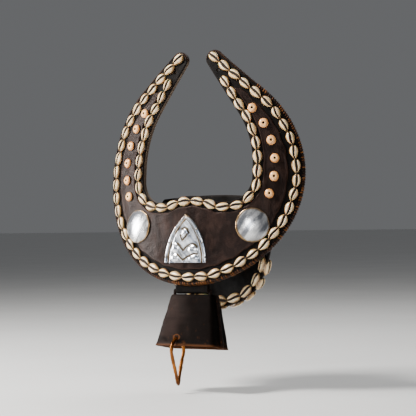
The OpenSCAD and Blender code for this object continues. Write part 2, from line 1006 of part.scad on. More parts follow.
module each_eye_leg() {
    for (side = [-1, 1])
        translate([0, crown_back + side * eye_leg_y, 0])
            children();
}

module each_seam_rivet() {
    step = (bell_h - 20) / (seam_rivet_n - 1);
    slope = (mouth_w - crown_w) / 2 / bell_h;
    for (side = [-1, 1], i = [0 : seam_rivet_n - 1]) {
        drop = 10 + i * step;
        translate([side * (crown_w / 2 + slope * drop + seam_w / 2), crown_back, crown_z - drop])
            rotate([90, 0, 0])
                children();
    }
}

// One sheet, folded at the crown and closed by a flat seam on each side
module bell_body() {
    color([0.3, 0.26, 0.25])
        bell_frame()
            difference() {
                union() {
                    bell_block(0, crown_z, lip_z);
                    for (side = [-1, 1])
                        translate([0, crown_back + bell_t, 0])
                            rotate([90, 0, 0])
                                linear_extrude(2 * bell_t)
                                    polygon([[side * (crown_w / 2 - 1), crown_z],
                                        [side * (crown_w / 2 + seam_w), crown_z],
                                        [side * (mouth_w / 2 + seam_w), lip_z],
                                        [side * (mouth_w / 2 - 1), lip_z]]);
                }
                bell_block(bell_t, crown_z - bell_t, lip_z - 1);
                each_leg()
                    translate([0, 0, crown_z - 10])
                        cylinder(h = 20, r = bar_r + hole_fit, $fn = 32);
                each_eye_leg()
                    translate([0, 0, crown_z - 10])
                        cylinder(h = 20, r = eye_r + hole_fit, $fn = 32);
                each_seam_rivet()
                    cylinder(h = 20, r = seam_rivet_r + hole_fit, center = true, $fn = 24);
                translate([hole_x, hole_y, hole_z])
                    rotate([bell_tilt + 90, 0, 0])
                        cylinder(h = 20, r = hole_r, center = true);
            }
}

module bell_rivets() {
    head_at = bell_t + glue;
    head_r = seam_w / 2 - 0.4;
    color([0.36, 0.3, 0.27])
        bell_frame()
            each_seam_rivet() {
                cylinder(h = 2 * head_at + 0.4, r = seam_rivet_r, center = true, $fn = 24);
                for (side = [-1, 1])
                    translate([0, 0, side * (head_at + 0.5)])
                        cylinder(h = 1, r = head_r, center = true, $fn = 24);
            }
}

// Staple over the crown: a bar on two legs, clinched inside
module bell_staple() {
    foot = crown_z - bell_t - glue - 1.4;
    color([0.26, 0.22, 0.21])
        bell_frame() {
            translate([-leg_x, 0, 0])
                rotate([0, 90, 0])
                    cylinder(h = 2 * leg_x, r = bar_r, $fn = 32);
            each_leg() {
                sphere(bar_r, $fn = 32);
                translate([0, 0, foot])
                    cylinder(h = -foot, r = bar_r, $fn = 32);
                translate([0, 0, foot])
                    cylinder(h = 1.4, r = bar_r * 1.6, $fn = 32);
            }
        }
}

// Eye inside the crown: a bar from front to back on two legs, clinched on top
module clapper_eye() {
    head = crown_z + glue;
    color([0.26, 0.22, 0.21])
        bell_frame() {
            translate([0, crown_back + eye_leg_y, eye_z])
                rotate([90, 0, 0])
                    cylinder(h = 2 * eye_leg_y, r = eye_r, $fn = 32);
            each_eye_leg() {
                translate([0, 0, eye_z])
                    sphere(eye_r, $fn = 32);
                translate([0, 0, eye_z])
                    cylinder(h = head - eye_z, r = eye_r, $fn = 32);
                translate([0, 0, head])
                    cylinder(h = 0.8, r = eye_r * 1.5, $fn = 32);
            }
        }
}

// Eye, rod and knob, hanging plumb in the tilted bell
module clapper() {
    eye_in = eye_r + bar_fit;
    eye_out = eye_in + clapper_wall;
    eye_w = 4;
    color([0.28, 0.24, 0.22])
        bell_frame()
            translate([0, crown_back, eye_z])
                difference() {
                    union() {
                        rotate([90, 0, 0])
                            cylinder(h = eye_w, r = eye_out, center = true, $fn = 48);
                        rotate([bell_tilt, 0, 0]) {
                            translate([0, 0, -clapper_l])
                                cylinder(h = clapper_l - eye_in - 0.5, r = rod_r, $fn = 32);
                            translate([0, 0, -clapper_l])
                                sphere(knob_r, $fn = 48);
                        }
                    }
                    rotate([90, 0, 0])
                        cylinder(h = 3 * eye_w, r = eye_in, center = true, $fn = 48);
                }
}

// Wire loop with a pointed lower end, hanging through the hole in the front wall;
// forged swellings join its round end, its two strands and its point
module bell_loop() {
    span = 180 + 2 * loop_turn;
    strand = (loop_l - loop_r) * cos(loop_turn);
    swell_r = wire_r + 0.25;
    color([0.55, 0.32, 0.12])
        translate(wire_at - [0, 0, loop_r])
            rotate([90, 0, 90]) {
                rotate([0, 0, -loop_turn])
                    rotate_extrude(angle = span, $fn = 96)
                        translate([loop_r, 0])
                            circle(wire_r, $fn = 24);
                for (side = [-1, 1])
                    translate([0, loop_r - loop_l, 0])
                        rotate([0, 0, -side * loop_turn])
                            rotate([-90, 0, 0]) {
                                cylinder(h = strand, r = wire_r, $fn = 24);
                                translate([0, 0, strand])
                                    sphere(swell_r, $fn = 24);
                            }
                translate([0, loop_r - loop_l, 0])
                    sphere(swell_r, $fn = 24);
            }
}

collar_core();
face_leather();
center_panel();
back_lining();
rim_binding();
outer_cowries_left();
outer_cowries_right();
inner_cowries_left();
inner_cowries_right();
bone_studs_left();
bone_studs_right();
stud_thongs();
silver_disc_left();
silver_disc_right();
disc_shanks();
plaque_panel();
plaque_border();
plaque_nails();
chest_apron();
apron_thongs();
apron_cowries_front();
apron_cowries_back();
hanger_strap();
hanger_rivets();
bell_body();
bell_rivets();
bell_staple();
clapper_eye();
clapper();
bell_loop();
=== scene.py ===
"""Looks of a leather neck collar with cowrie shells, silver trim and an iron bell."""
import json
import math

import bmesh
import bpy
import numpy as np
from mathutils import Matrix, Vector


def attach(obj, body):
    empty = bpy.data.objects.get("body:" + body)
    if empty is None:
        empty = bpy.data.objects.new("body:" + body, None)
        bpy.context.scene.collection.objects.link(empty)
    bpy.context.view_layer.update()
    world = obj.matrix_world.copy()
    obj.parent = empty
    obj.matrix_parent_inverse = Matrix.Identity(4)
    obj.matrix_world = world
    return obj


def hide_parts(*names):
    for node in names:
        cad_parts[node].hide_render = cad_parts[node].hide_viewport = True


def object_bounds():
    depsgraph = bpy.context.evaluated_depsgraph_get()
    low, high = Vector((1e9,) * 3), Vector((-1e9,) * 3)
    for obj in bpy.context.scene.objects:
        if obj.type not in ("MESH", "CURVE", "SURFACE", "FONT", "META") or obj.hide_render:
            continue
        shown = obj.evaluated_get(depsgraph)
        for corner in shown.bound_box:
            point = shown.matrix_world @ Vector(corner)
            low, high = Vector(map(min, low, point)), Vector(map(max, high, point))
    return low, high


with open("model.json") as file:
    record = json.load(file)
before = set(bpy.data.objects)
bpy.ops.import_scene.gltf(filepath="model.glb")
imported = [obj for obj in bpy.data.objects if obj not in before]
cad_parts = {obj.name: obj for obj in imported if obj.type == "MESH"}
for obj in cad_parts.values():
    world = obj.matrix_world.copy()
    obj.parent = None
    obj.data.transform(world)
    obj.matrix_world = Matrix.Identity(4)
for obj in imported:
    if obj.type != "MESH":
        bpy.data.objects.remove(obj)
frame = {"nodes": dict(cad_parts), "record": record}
cad_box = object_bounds()

MM = 0.001
TAU = 2 * math.pi
QUARTER = math.pi / 2
WAVE_N = 8


# Helpers for numbers

def waves(points, length, seed):
    """A smooth, uneven field of about -1 to 1."""
    rng = np.random.default_rng(seed)
    way = rng.normal(size=(WAVE_N, points.shape[-1]))
    way *= (TAU / length * rng.uniform(0.6, 1.5, WAVE_N) / np.linalg.norm(way, axis=1))[:, None]
    return np.sin(points @ way.T + rng.uniform(0, TAU, WAVE_N)).sum(axis=-1) / math.sqrt(WAVE_N)


def part(value, start, run):
    """How much of a run the value has passed, from 0 to 1."""
    return np.clip((value - start) / run, 0, 1)


def hump(value, at, wide):
    """1 at a value, falling smoothly to 0 on both sides."""
    return np.exp(-((value - at) / wide) ** 2)


def unit(v):
    return v / np.maximum(np.linalg.norm(v, axis=-1, keepdims=True), 1e-9)


def spin(a, b, turn):
    """A pair of coordinates, turned from the first toward the second."""
    c, s = math.cos(turn), math.sin(turn)
    return a * c - b * s, a * s + b * c


def polar(x, z, r, a):
    """The place at a distance and a turn from another."""
    return x + r * np.cos(a), z + r * np.sin(a)


def points_of(*parts):
    """Points from their coordinates."""
    return np.stack(np.broadcast_arrays(*parts), axis=-1)


# Sizes in millimetres, the same as the solids have
BEND_R = 360.0
LEAN = math.radians(6)
OUTLINE_R = 178.0
OUTLINE_Z = -26.0
TIP = (33.0, 163.0)
TIP_IN = 1.8
TIP_R = 14.2
SIDE_BAND = 77.0
LOW_BAND = 133.0
SIDE_LESS = 21.0
SIDE_RUN = 18.0
HORN_TAPER = math.radians(16.6)
CORNER_LESS = 138.0
RISE_R = 110.0
RISE_UP = 10.0
FACE_T = 2.5
BACK_AT = 9.2
LINING_AT = 7.7
PANEL_T = 2.0
PANEL_OUT = 17.0
PANEL_TOP = 112.0
GLUE = 0.1
RIM_T = 3.2
RIM_LAP = 0.9
TIE_BACK = 18.2
TIE_IN = 11.5
TIE_R = 2.5
SHELL = (21.4, 14.5, 6.5)
OUTER_ROW_IN = 12.0
OUTER_ROW_N = 22
INNER_ROW_OUT = 8.5
INNER_ROW_N = 14
INNER_PITCH = 22.7
STUD_N = 6
STUD_D = 16.0
STUD_H = 5.0
STUD_TURN = 46.9
STUD_STEP = 12.16
STUD_IN = 34.0
STUD_DRIFT = 2.4
DISC_D = 55.0
DISC_H = 5.0
DISC_IN = 45.2
DISC_TURN = math.radians(38.3)
PLAQUE_X = -6.0
PLAQUE_UP = 35.0
PLAQUE_W = 76.0
PLAQUE_R = 101.0
PLAQUE_T = 1.0
BORDER_W = 4.5
APRON_Y = 90.0
APRON_T = 4.0
APRON_LESS = 61.0
APRON_X = 14.0
APRON_FALL = 91.0
APRON_RISE = 21.0
APRON_TOP_R = 478.0
APRON_ROW_IN = 9.0
APRON_ROW_N = 4
APRON_PITCH = 29.0
FLAP_GAP = 36.0
FLAP_W = 23.0
FLAP_H = 46.0
FLAP_FALL = 44.0
FLAP_THONG_N = 4
STRAP_W = 58.0
STRAP_T = 2.8
STRAP_UP = 52.0
BAR_FALL = 8.5
BAR_R = 2.4
BAR_FIT = 0.1
BELL_TILT = math.radians(10)
CROWN_BACK = 9.92
CROWN_DROP = 6.5
MOUTH = (106.0, 56.0)
BELL_H = 84.0
BELL_T = 2.2
SEAM_W = 4.5
SEAM_RIVET_N = 4
HOLE_X = -14.0
HOLE_R = 4.9
WIRE_R = 3.0
LOOP_R = 20.0
LOOP_L = 74.0

# Sizes that differ a little from the solids, to suit the photo
RIM_DRAW = 2.5
PANEL_IN = 24.0
STRIP_W = 7.0
CROWN = (74.0, 31.0)
SHELL_GROWTH = 1.07
STUD_GROWTH = 0.97

# Places that follow from those sizes
ROW_R = OUTLINE_R - OUTER_ROW_IN
TIP_UP = TIP[1] - OUTLINE_Z
TIP_REACH = math.hypot(TIP[0], TIP_UP)
RIM_TURN = math.atan2(TIP_UP, TIP[0]) - math.acos(ROW_R / TIP_REACH)
ROW_ARC = ROW_R * (RIM_TURN + QUARTER)
ROW_LEN = ROW_ARC + math.sqrt(TIP_REACH ** 2 - ROW_R ** 2)
RIM_LOW = OUTLINE_Z - OUTLINE_R
RIM_FRONT = RIM_LAP
RIM_BACK = -BACK_AT - RIM_LAP
RIM_MID = (RIM_BACK + RIM_FRONT) / 2
SIDE_X = OUTLINE_R - SIDE_BAND
SIDE_R = OUTLINE_R - SIDE_LESS
SIDE_TURN = RIM_TURN - HORN_TAPER
CORNER_R = OUTLINE_R - CORNER_LESS
LOW_Z = RIM_LOW + LOW_BAND
CORNER_Z = LOW_Z + CORNER_R
RISE_CZ = LOW_Z + RISE_UP - RISE_R
TIP_C = polar(*TIP, -TIP_IN, RIM_TURN)
TIE_X, TIE_Z = polar(*polar(*TIP, -TIE_IN, RIM_TURN), -TIE_BACK, RIM_TURN + QUARTER)
PANEL_AT = PANEL_T + GLUE
SILVER_AT = PANEL_AT + GLUE
PLAQUE_Z = RIM_LOW + PLAQUE_UP
PLAQUE_SIDE = PLAQUE_R - PLAQUE_W / 2
PLAQUE_TALL = math.sqrt(PLAQUE_R ** 2 - PLAQUE_SIDE ** 2)
FLAP_AT = BACK_AT + GLUE
FLAP_OUT = OUTLINE_R - FLAP_GAP
FLAP_MID = FLAP_OUT - FLAP_W / 2
FLAP_LOW = OUTLINE_Z - FLAP_FALL - FLAP_H
APRON_EDGE_R = OUTLINE_R - APRON_LESS
APRON_Z = OUTLINE_Z - APRON_FALL
APRON_TOP = LOW_Z + APRON_RISE
BULGE = APRON_Y - BEND_R + math.sqrt((BEND_R - FLAP_AT) ** 2 - FLAP_MID ** 2)
APRON_R = (FLAP_MID ** 2 + BULGE ** 2) / (2 * BULGE)
APRON_CY = APRON_Y - APRON_R
CROWN_Z = -CROWN_DROP
CROWN_HALF = CROWN[0] / 2
WALL_RUN = (MOUTH[0] - CROWN[0]) / 2
JOINTS = {j["name"]: [v / MM for v in j["pos_m"]] for j in frame["record"]["behaviour"]["joints"]}
BELL_AT = JOINTS["bell_swing"]
HOLE_AT = JOINTS["loop_swing"]


def link(name, data):
    """Puts a new object with the given data in the scene."""
    made = bpy.data.objects.new(name, data)
    bpy.context.scene.collection.objects.link(made)
    return made


# Camera and light, in metres

VIEW_TURN = math.radians(28.1)
VIEW_RISE = math.radians(-0.5)
VIEW_ROLL = math.radians(0.83)
VIEW_FAR = 2.3
VIEW_AT = Vector((0.0, 0.010, -0.075))
VIEW_RIGHT = 0.0189
VIEW_DOWN = 0.0057
VIEW_LENS = 123.0
SENSOR = 36.0
SIGHT = 200.0

# Name, place, size, power and tint of each light
LIGHTS = (("key_left", (-1.05, -1.06, 1.40), (0.6, 0.6), 108.0, (1.0, 0.975, 0.94)),
          ("side_left", (-1.82, -0.78, 0.20), (0.5, 0.8), 50.0, (1.0, 0.98, 0.96)),
          ("front_fill", (0.15, -2.3, 0.40), (0.7, 0.7), 15.0, (1.0, 1.0, 1.0)),
          ("low_left", (-1.15, -2.0, 0.50), (0.5, 0.5), 2.2, (1.0, 0.99, 0.98)),
          ("top_back", (0.4, 1.4, 1.5), (1.2, 0.8), 16.0, (1.0, 1.0, 1.0)))
LIGHT_AIM = Vector((0.0, 0.0, -0.08))
SKY_TINT = (0.80, 0.82, 0.85, 1.0)
SKY_POWER = 0.17


def set_camera():
    out = Vector((math.sin(VIEW_TURN) * math.cos(VIEW_RISE),
                  -math.cos(VIEW_TURN) * math.cos(VIEW_RISE), math.sin(VIEW_RISE)))
    side = Vector((math.cos(VIEW_TURN), math.sin(VIEW_TURN), 0.0))
    up = out.cross(side)
    at = VIEW_AT + side * VIEW_RIGHT - up * VIEW_DOWN + out * VIEW_FAR
    turn = Matrix((side, up, out)).transposed() @ Matrix.Rotation(-VIEW_ROLL, 3, "Z")
    data = bpy.data.cameras.new("camera")
    data.lens = VIEW_LENS
    data.sensor_width = SENSOR
    data.clip_end = SIGHT
    camera = link("camera", data)
    camera.matrix_world = Matrix.Translation(at) @ turn.to_4x4()
    bpy.context.scene.camera = camera


def set_lights():
    for name, at, size, power, tint in LIGHTS:
        data = bpy.data.lights.new(name, "AREA")
        data.shape = "ELLIPSE"
        data.size, data.size_y = size
        data.energy = power
        data.color = tint
        lamp = link(name, data)
        lamp.location = at
        lamp.rotation_euler = (LIGHT_AIM - Vector(at)).to_track_quat("-Z", "Y").to_euler()
    world = bpy.data.worlds.new("studio")
    world.use_nodes = True
    sky = world.node_tree.nodes["Background"]
    sky.inputs["Color"].default_value = SKY_TINT
    sky.inputs["Strength"].default_value = SKY_POWER
    bpy.context.scene.world = world


# Node materials

class Shader:
    """A small helper that adds nodes to one material and joins them."""

    def __init__(self, name):
        self.material = bpy.data.materials.new(name)
        self.material.use_nodes = True
        self.tree = self.material.node_tree
        self.tree.nodes.clear()
        self.bsdf = self.node("BsdfPrincipled")
        self.node("OutputMaterial", Surface=self.bsdf.outputs[0])
        self.place = self.node("TexCoord").outputs["Object"]

    def node(self, kind, settings=(), **inputs):
        made = self.tree.nodes.new("ShaderNode" + kind)
        for key, value in dict(settings).items():
            setattr(made, key, value)
        self.put(made, **inputs)
        return made

    def feed(self, socket, value):
        """Joins an output to a socket, or sets a constant on it."""
        if hasattr(value, "is_output"):
            self.tree.links.new(value, socket)
        else:
            socket.default_value = (*value, 1.0) if socket.type == "RGBA" else value

    def put(self, made, **inputs):
        for key, value in inputs.items():
            self.feed(made.inputs[key.replace("_", " ")], value)

    def stretched(self, scale, turn=0.0):
        """Places turned about y first, then stretched."""
        made = self.node("Mapping", {"vector_type": "TEXTURE"}, Vector=self.place,
                         Scale=[1 / v for v in scale], Rotation=(0.0, turn, 0.0))
        return made.outputs["Vector"]

    def noise(self, scale, detail, rough, place=None, twist=0.0):
        made = self.node("TexNoise", Vector=place or self.place, Scale=scale, Detail=detail, Roughness=rough,
                         Distortion=twist)
        return made.outputs["Fac"]

    def cells(self, scale, feature):
        made = self.node("TexVoronoi", {"feature": feature}, Vector=self.place, Scale=scale)
        return made.outputs["Distance"]

    def ramp(self, value, *stops):
        made = self.node("ValToRGB", Fac=value)
        band = made.color_ramp
        while len(band.elements) < len(stops):
            band.elements.new(0.5)
        for spot, (at, tint) in zip(band.elements, stops):
            spot.position = at
            spot.color = (*tint, 1.0)
        return made.outputs["Color"]

    def span(self, value, low, high, to_low, to_high):
        made = self.node("MapRange", Value=value, From_Min=low, From_Max=high, To_Min=to_low, To_Max=to_high)
        return made.outputs["Result"]

    def mix(self, share, one, two, blend="MIX"):
        made = self.node("Mix", {"data_type": "RGBA", "blend_type": blend})
        for spot, value in ((0, share), (6, one), (7, two)):
            self.feed(made.inputs[spot], value)
        return made.outputs[2]

    def sum(self, one, two):
        made = self.node("Math", {"operation": "ADD"})
        self.feed(made.inputs[0], one)
        self.feed(made.inputs[1], two)
        return made.outputs["Value"]

    def vary(self, value, noise, amount, low=0.3):
        """The value, made uneven by a noise."""
        return self.sum(value, self.span(noise, low, 0.7, -amount, amount))

    def stain(self, base, tint, value, low, high, most=1.0):
        """The base, tinted toward a colour as the value goes from low to high; it lays real stains and
        painted shade alike.
        """
        return self.mix(self.ramp(value, (low, (0, 0, 0)), (high, (most, most, most))), base, tint)

    def shade(self, base, noise, share, low):
        """The base, darker where a noise is low."""
        return self.mix(share, base, self.ramp(noise, (0.3, (low, low, low)), (0.7, (1, 1, 1))), "MULTIPLY")

    def tone(self, *channels):
        """What points carry: Red is wear, hollow, rust or painted shade, Green edge, tarnish or painted
        shade, Blue chance.
        """
        read = self.node("Attribute", {"attribute_name": "tone"})
        split = self.node("SeparateColor", Color=read.outputs["Color"])
        return [split.outputs[channel] for channel in channels]

    def done(self, base, rough, *layers, **values):
        """The material, with bumps as layers of (height, depth in metres), the first lowest."""
        below = {}
        for height, depth in layers:
            made = self.node("Bump", Strength=1.0, Distance=depth, Height=height, **below)
            below = {"Normal": made.outputs["Normal"]}
        self.put(self.bsdf, Base_Color=base, Roughness=rough, **below, **values)
        return self.material


def leather(name, dark, mid, worn, gloss=(0.36, 0.62), grain=750.0, depth=0.00018, shine=0.32,
            sheen=(1.0, 1.0, 1.0)):
    s = Shader(name)
    [wear] = s.tone("Red")
    cloud = s.noise(16.0, 6.0, 0.6, twist=0.4)
    rubbed = s.noise(9.0, 7.0, 0.62, s.stretched((7.0, 7.0, 3.5)), 0.3)
    fine = s.noise(160.0, 5.0, 0.65)
    base = s.ramp(cloud, (0.3, dark), (0.72, mid))
    base = s.stain(base, worn, rubbed, 0.46, 0.74, 0.8)
    base = s.mix(s.span(wear, 0.0, 1.0, 0.0, 0.8), base, worn)
    base = s.shade(base, fine, 0.55, 0.55)
    pores = s.cells(grain, "F1")
    creases = s.cells(grain * 0.36, "DISTANCE_TO_EDGE")
    return s.done(base, s.span(s.sum(cloud, fine), 0.7, 1.3, *gloss), (cloud, 0.0016), (fine, depth),
                  (pores, depth * 1.6), (creases, depth), Specular_IOR_Level=shine, Specular_Tint=sheen)


def shell_material():
    s = Shader("cowrie_shell")
    hollow, edge, chance = s.tone("Red", "Green", "Blue")
    cloud = s.noise(120.0, 4.0, 0.6)
    growth = s.noise(420.0, 5.0, 0.6, s.stretched((1.0, 1.0, 0.35)))
    # Painted shade on the shell: cream on top, brown and then near black toward the rim.
    base = s.ramp(s.vary(edge, cloud, 0.16), (0.0, (1.0, 0.93, 0.76)), (0.32, (0.96, 0.76, 0.43)),
                  (0.56, (0.50, 0.29, 0.10)), (0.88, (0.085, 0.042, 0.016)))
    base = s.stain(base, (0.74, 0.53, 0.29), chance, 0.25, 1.0, 0.5)
    base = s.stain(base, (0.60, 0.40, 0.19), growth, 0.5, 0.75, 0.4)
    # Painted shade along the slit: tan beside it, near black in it.
    base = s.stain(base, (0.56, 0.33, 0.115), hollow, 0.0, 0.22, 0.8)
    base = s.stain(base, (0.011, 0.0055, 0.0028), hollow, 0.24, 0.5)
    rough = s.sum(s.span(cloud, 0.3, 0.7, 0.2, 0.38), s.span(hollow, 0.22, 0.5, 0.0, 0.6))
    return s.done(base, rough, (cloud, 0.0004), (growth, 0.00008), Specular_IOR_Level=0.5,
                  Coat_Weight=s.span(hollow, 0.22, 0.5, 0.6, 0.0), Coat_Roughness=0.16,
                  Subsurface_Weight=0.08, Subsurface_Scale=0.002)


def bone_material():
    s = Shader("bone")
    hollow, edge, chance = s.tone("Red", "Green", "Blue")
    cloud = s.noise(140.0, 5.0, 0.6)
    fibre = s.noise(700.0, 3.0, 0.6, s.stretched((1.0, 1.0, 0.15)))
    # Painted shade on the bead: bright on top, browner and darker down its sides to the foot.
    base = s.ramp(s.vary(edge, cloud, 0.15), (0.0, (1.0, 0.58, 0.24)), (0.26, (0.68, 0.285, 0.075)),
                  (0.65, (0.30, 0.115, 0.032)))
    base = s.stain(base, (0.80, 0.39, 0.145), chance, 0.3, 1.0, 0.5)
    base = s.stain(base, (0.45, 0.25, 0.11), fibre, 0.52, 0.72, 0.55)
    # Painted shade: near black in the bead's hole.
    base = s.stain(base, (0.05, 0.025, 0.012), hollow, 0.15, 0.6)
    return s.done(base, s.span(cloud, 0.3, 0.7, 0.26, 0.42), (cloud, 0.0003), (fibre, 0.00006),
                  Coat_Weight=0.2, Coat_Roughness=0.2, Subsurface_Weight=0.06, Subsurface_Scale=0.002)


def silver_material(name, turn, low, high):
    s = Shader(name)
    hollow, edge = s.tone("Red", "Green")
    cloud = s.noise(55.0, 6.0, 0.62, twist=0.5)
    # Painted reflections: broad light and dark streaks in the metal's colour, along the brushing, from the
    # low to the high tint.
    reflection_streaks = s.noise(1.0, 2.0, 0.4, s.stretched((130.0, 130.0, 9.0), turn))
    brushed = s.noise(1.0, 4.0, 0.6, s.stretched((900.0, 900.0, 60.0), turn))
    base = s.ramp(s.vary(reflection_streaks, brushed, 0.05), (0.36, low), (0.64, high))
    base = s.stain(base, (0.36, 0.215, 0.085), s.vary(edge, cloud, 0.3, 0.35), 0.55, 0.95, 0.95)
    # Dark where hollow is high: tarnish in the chased lines and along the strip's inner edge, painted shade
    # on the discs' lower side.
    base = s.stain(base, (0.050, 0.036, 0.020), hollow, 0.08, 0.5)
    rough = s.sum(s.span(brushed, 0.3, 0.7, 0.17, 0.24), s.span(hollow, 0.0, 1.0, 0.0, 0.25))
    return s.done(base, rough, (cloud, 0.00004), (brushed, 0.00001), Metallic=0.94)


def iron_material(name, dark, brown, rust, shine, metal, gleam=0.3):
    s = Shader(name)
    wear, painted_shade = s.tone("Red", "Green")
    cloud = s.noise(26.0, 7.0, 0.62, twist=0.6)
    drawn = s.noise(40.0, 6.0, 0.6, s.stretched((0.4, 0.4, 3.2)))
    pits = s.noise(380.0, 5.0, 0.7)
    base = s.ramp(s.vary(cloud, drawn, 0.12), (0.34, dark), (0.66, brown))
    spots = s.sum(s.span(s.noise(70.0, 6.0, 0.7), 0.56, 0.74, 0.0, 0.6), wear)
    # The green channel is painted shade: near black, and rougher, toward the bell's right side.
    base = s.mix(s.span(painted_shade, 0.0, 1.0, 0.0, 0.9), base, (0.0010, 0.0007, 0.0006))
    base = s.stain(base, rust, spots, 0.25, 0.95, 0.95)
    rough = s.sum(s.span(s.sum(cloud, pits), 0.75, 1.25, *shine), s.span(painted_shade, 0.0, 1.0, 0.0, 0.3))
    return s.done(base, rough, (cloud, 0.0012), (pits, 0.00014), Metallic=metal, Specular_IOR_Level=gleam,
                  Specular_Tint=(1.0, 0.80, 0.72))


def lace_material(name, one, two, three, shine):
    s = Shader(name)
    [chance] = s.tone("Blue")
    fibre = s.noise(900.0, 4.0, 0.65)
    cloud = s.noise(60.0, 4.0, 0.6)
    base = s.ramp(s.vary(chance, cloud, 0.25), (0.1, one), (0.5, two), (0.95, three))
    return s.done(s.shade(base, fibre, 0.6, 0.5), s.span(fibre, 0.3, 0.7, *shine), (cloud, 0.0004),
                  (fibre, 0.00014), Specular_IOR_Level=0.16)


def floor_material():
    s = Shader("pale_floor")
    return s.done(s.ramp(s.noise(3.0, 4.0, 0.5), (0.3, (0.72, 0.72, 0.71)), (0.7, (0.76, 0.76, 0.75))), 0.7)


# Finishes: a material, and the slot that its pieces fill
BLACK_LEATHER = (leather("black_leather", (0.0018, 0.0016, 0.0015), (0.0042, 0.0033, 0.0030),
                         (0.013, 0.0085, 0.0065), gloss=(0.50, 0.70), depth=0.0001, shine=0.06),
                 "black_leather")
PANEL_LEATHER = (leather("brown_leather", (0.0024, 0.0012, 0.0009), (0.0088, 0.0042, 0.0032),
                         (0.032, 0.0170, 0.0128), gloss=(0.30, 0.46), grain=520.0, depth=0.00014,
                         shine=0.115, sheen=(1.0, 0.80, 0.74)), "brown_leather")
RAW_HIDE = (leather("raw_hide", (0.050, 0.029, 0.017), (0.105, 0.064, 0.038), (0.20, 0.135, 0.085),
                    gloss=(0.55, 0.8)), "raw_hide")
BINDING = (leather("binding_leather", (0.008, 0.0037, 0.0024), (0.022, 0.0095, 0.0052),
                   (0.065, 0.028, 0.012), shine=0.1), "binding_leather")
LACING = (lace_material("lacing", (0.011, 0.0036, 0.0014), (0.042, 0.0125, 0.0034),
                        (0.22, 0.074, 0.0135), (0.32, 0.55)), "binding_leather")
THONG = (lace_material("thong", (0.018, 0.010, 0.007), (0.035, 0.02, 0.013), (0.06, 0.034, 0.02),
                       (0.5, 0.75)), "thong")
COWRIE = (shell_material(), "shell")
BONE = (bone_material(), "bone")
# Low and high tints: the dark and light of the painted reflection streaks.
SILVER = (silver_material("silver", 0.62, (0.27, 0.28, 0.31), (0.99, 0.99, 1.0)), "silver")
SILVER_PLAQUE = (silver_material("silver_plaque", -0.75, (0.22, 0.26, 0.33), (0.84, 0.86, 0.90)), "silver")
NAIL_METAL = (iron_material("nail_metal", (0.16, 0.14, 0.12), (0.30, 0.27, 0.23), (0.16, 0.09, 0.04),
                            (0.35, 0.55), 0.9), "nail_metal")
BELL_IRON = (iron_material("bell_iron", (0.0036, 0.0022, 0.0019), (0.0145, 0.0088, 0.0074),
                           (0.075, 0.027, 0.009), (0.36, 0.54), 0.0, gleam=0.045), "bell_iron")
LOOP_IRON = (iron_material("loop_iron", (0.085, 0.024, 0.004), (0.33, 0.110, 0.016), (0.11, 0.040, 0.010),
                           (0.14, 0.28), 0.7), "loop_iron")


# Frames; points are in millimetres until a piece is made

def lean_back(p, turn=LEAN):
    """From the collar's own frame to the shared one."""
    y, z = spin(p[..., 1], p[..., 2], -turn)
    return points_of(p[..., 0], y, z)


def in_bell(p):
    """From the bell's own frame to the shared one."""
    return lean_back(p, BELL_TILT) + [0, BELL_AT[1], BELL_AT[2]]


def bent(flat, h):
    """Places of the flat outline at a height over the collar's front face, along its normal."""
    x, grown = flat[..., 0], 1 + h / BEND_R
    return lean_back(points_of(x * grown, BEND_R - np.sqrt(BEND_R ** 2 - x ** 2) * grown, flat[..., 1]))


def on_face(p, x, z, turn=0.0):
    """Stands points on the front face, with their z outward and their x turned from level."""
    b = math.asin(x / BEND_R)
    across, up = spin(p[:, 0], p[:, 1], turn)
    right, out = spin(across, p[:, 2], -b)
    return lean_back(points_of(x + right, BEND_R - BEND_R * math.cos(b) - out, z + up))


def on_apron(p, x, z, turn, rear):
    """The same on the apron's rear side (1) or front side (-1)."""
    r = APRON_R if rear > 0 else APRON_R - APRON_T
    b = math.asin(x / r)
    across, up = spin(p[:, 0], p[:, 1], turn)
    right, out = spin(across, rear * p[:, 2], -b)
    return lean_back(points_of(x + right, APRON_CY + r * math.cos(b) + out, z - rear * up))


# Mesh helpers

def grid(rows, columns, ring=False):
    """Faces of a grid of points; a ring also joins the last column to the first."""
    faces = []
    for a in range(0, (rows - 1) * columns, columns):
        for j in range(columns if ring else columns - 1):
            k = (j + 1) % columns
            faces.append((a + j, a + k, a + columns + k, a + columns + j))
    return faces


def closed(rows, columns):
    """Faces of a ring grid with both its ends shut."""
    ends = [tuple(range(columns))[::-1], tuple(range((rows - 1) * columns, rows * columns))]
    return grid(rows, columns, ring=True) + ends


def solid(sections):
    """Points and faces of a solid, from its sections one after another."""
    sections = np.asarray(sections)
    return sections.reshape(-1, 3), closed(*sections.shape[:2])


def folded(upper, lower):
    """Rows of two sides as one ring: over the upper side and back along the lower."""
    return np.concatenate([upper, lower[:, ::-1]], axis=1)


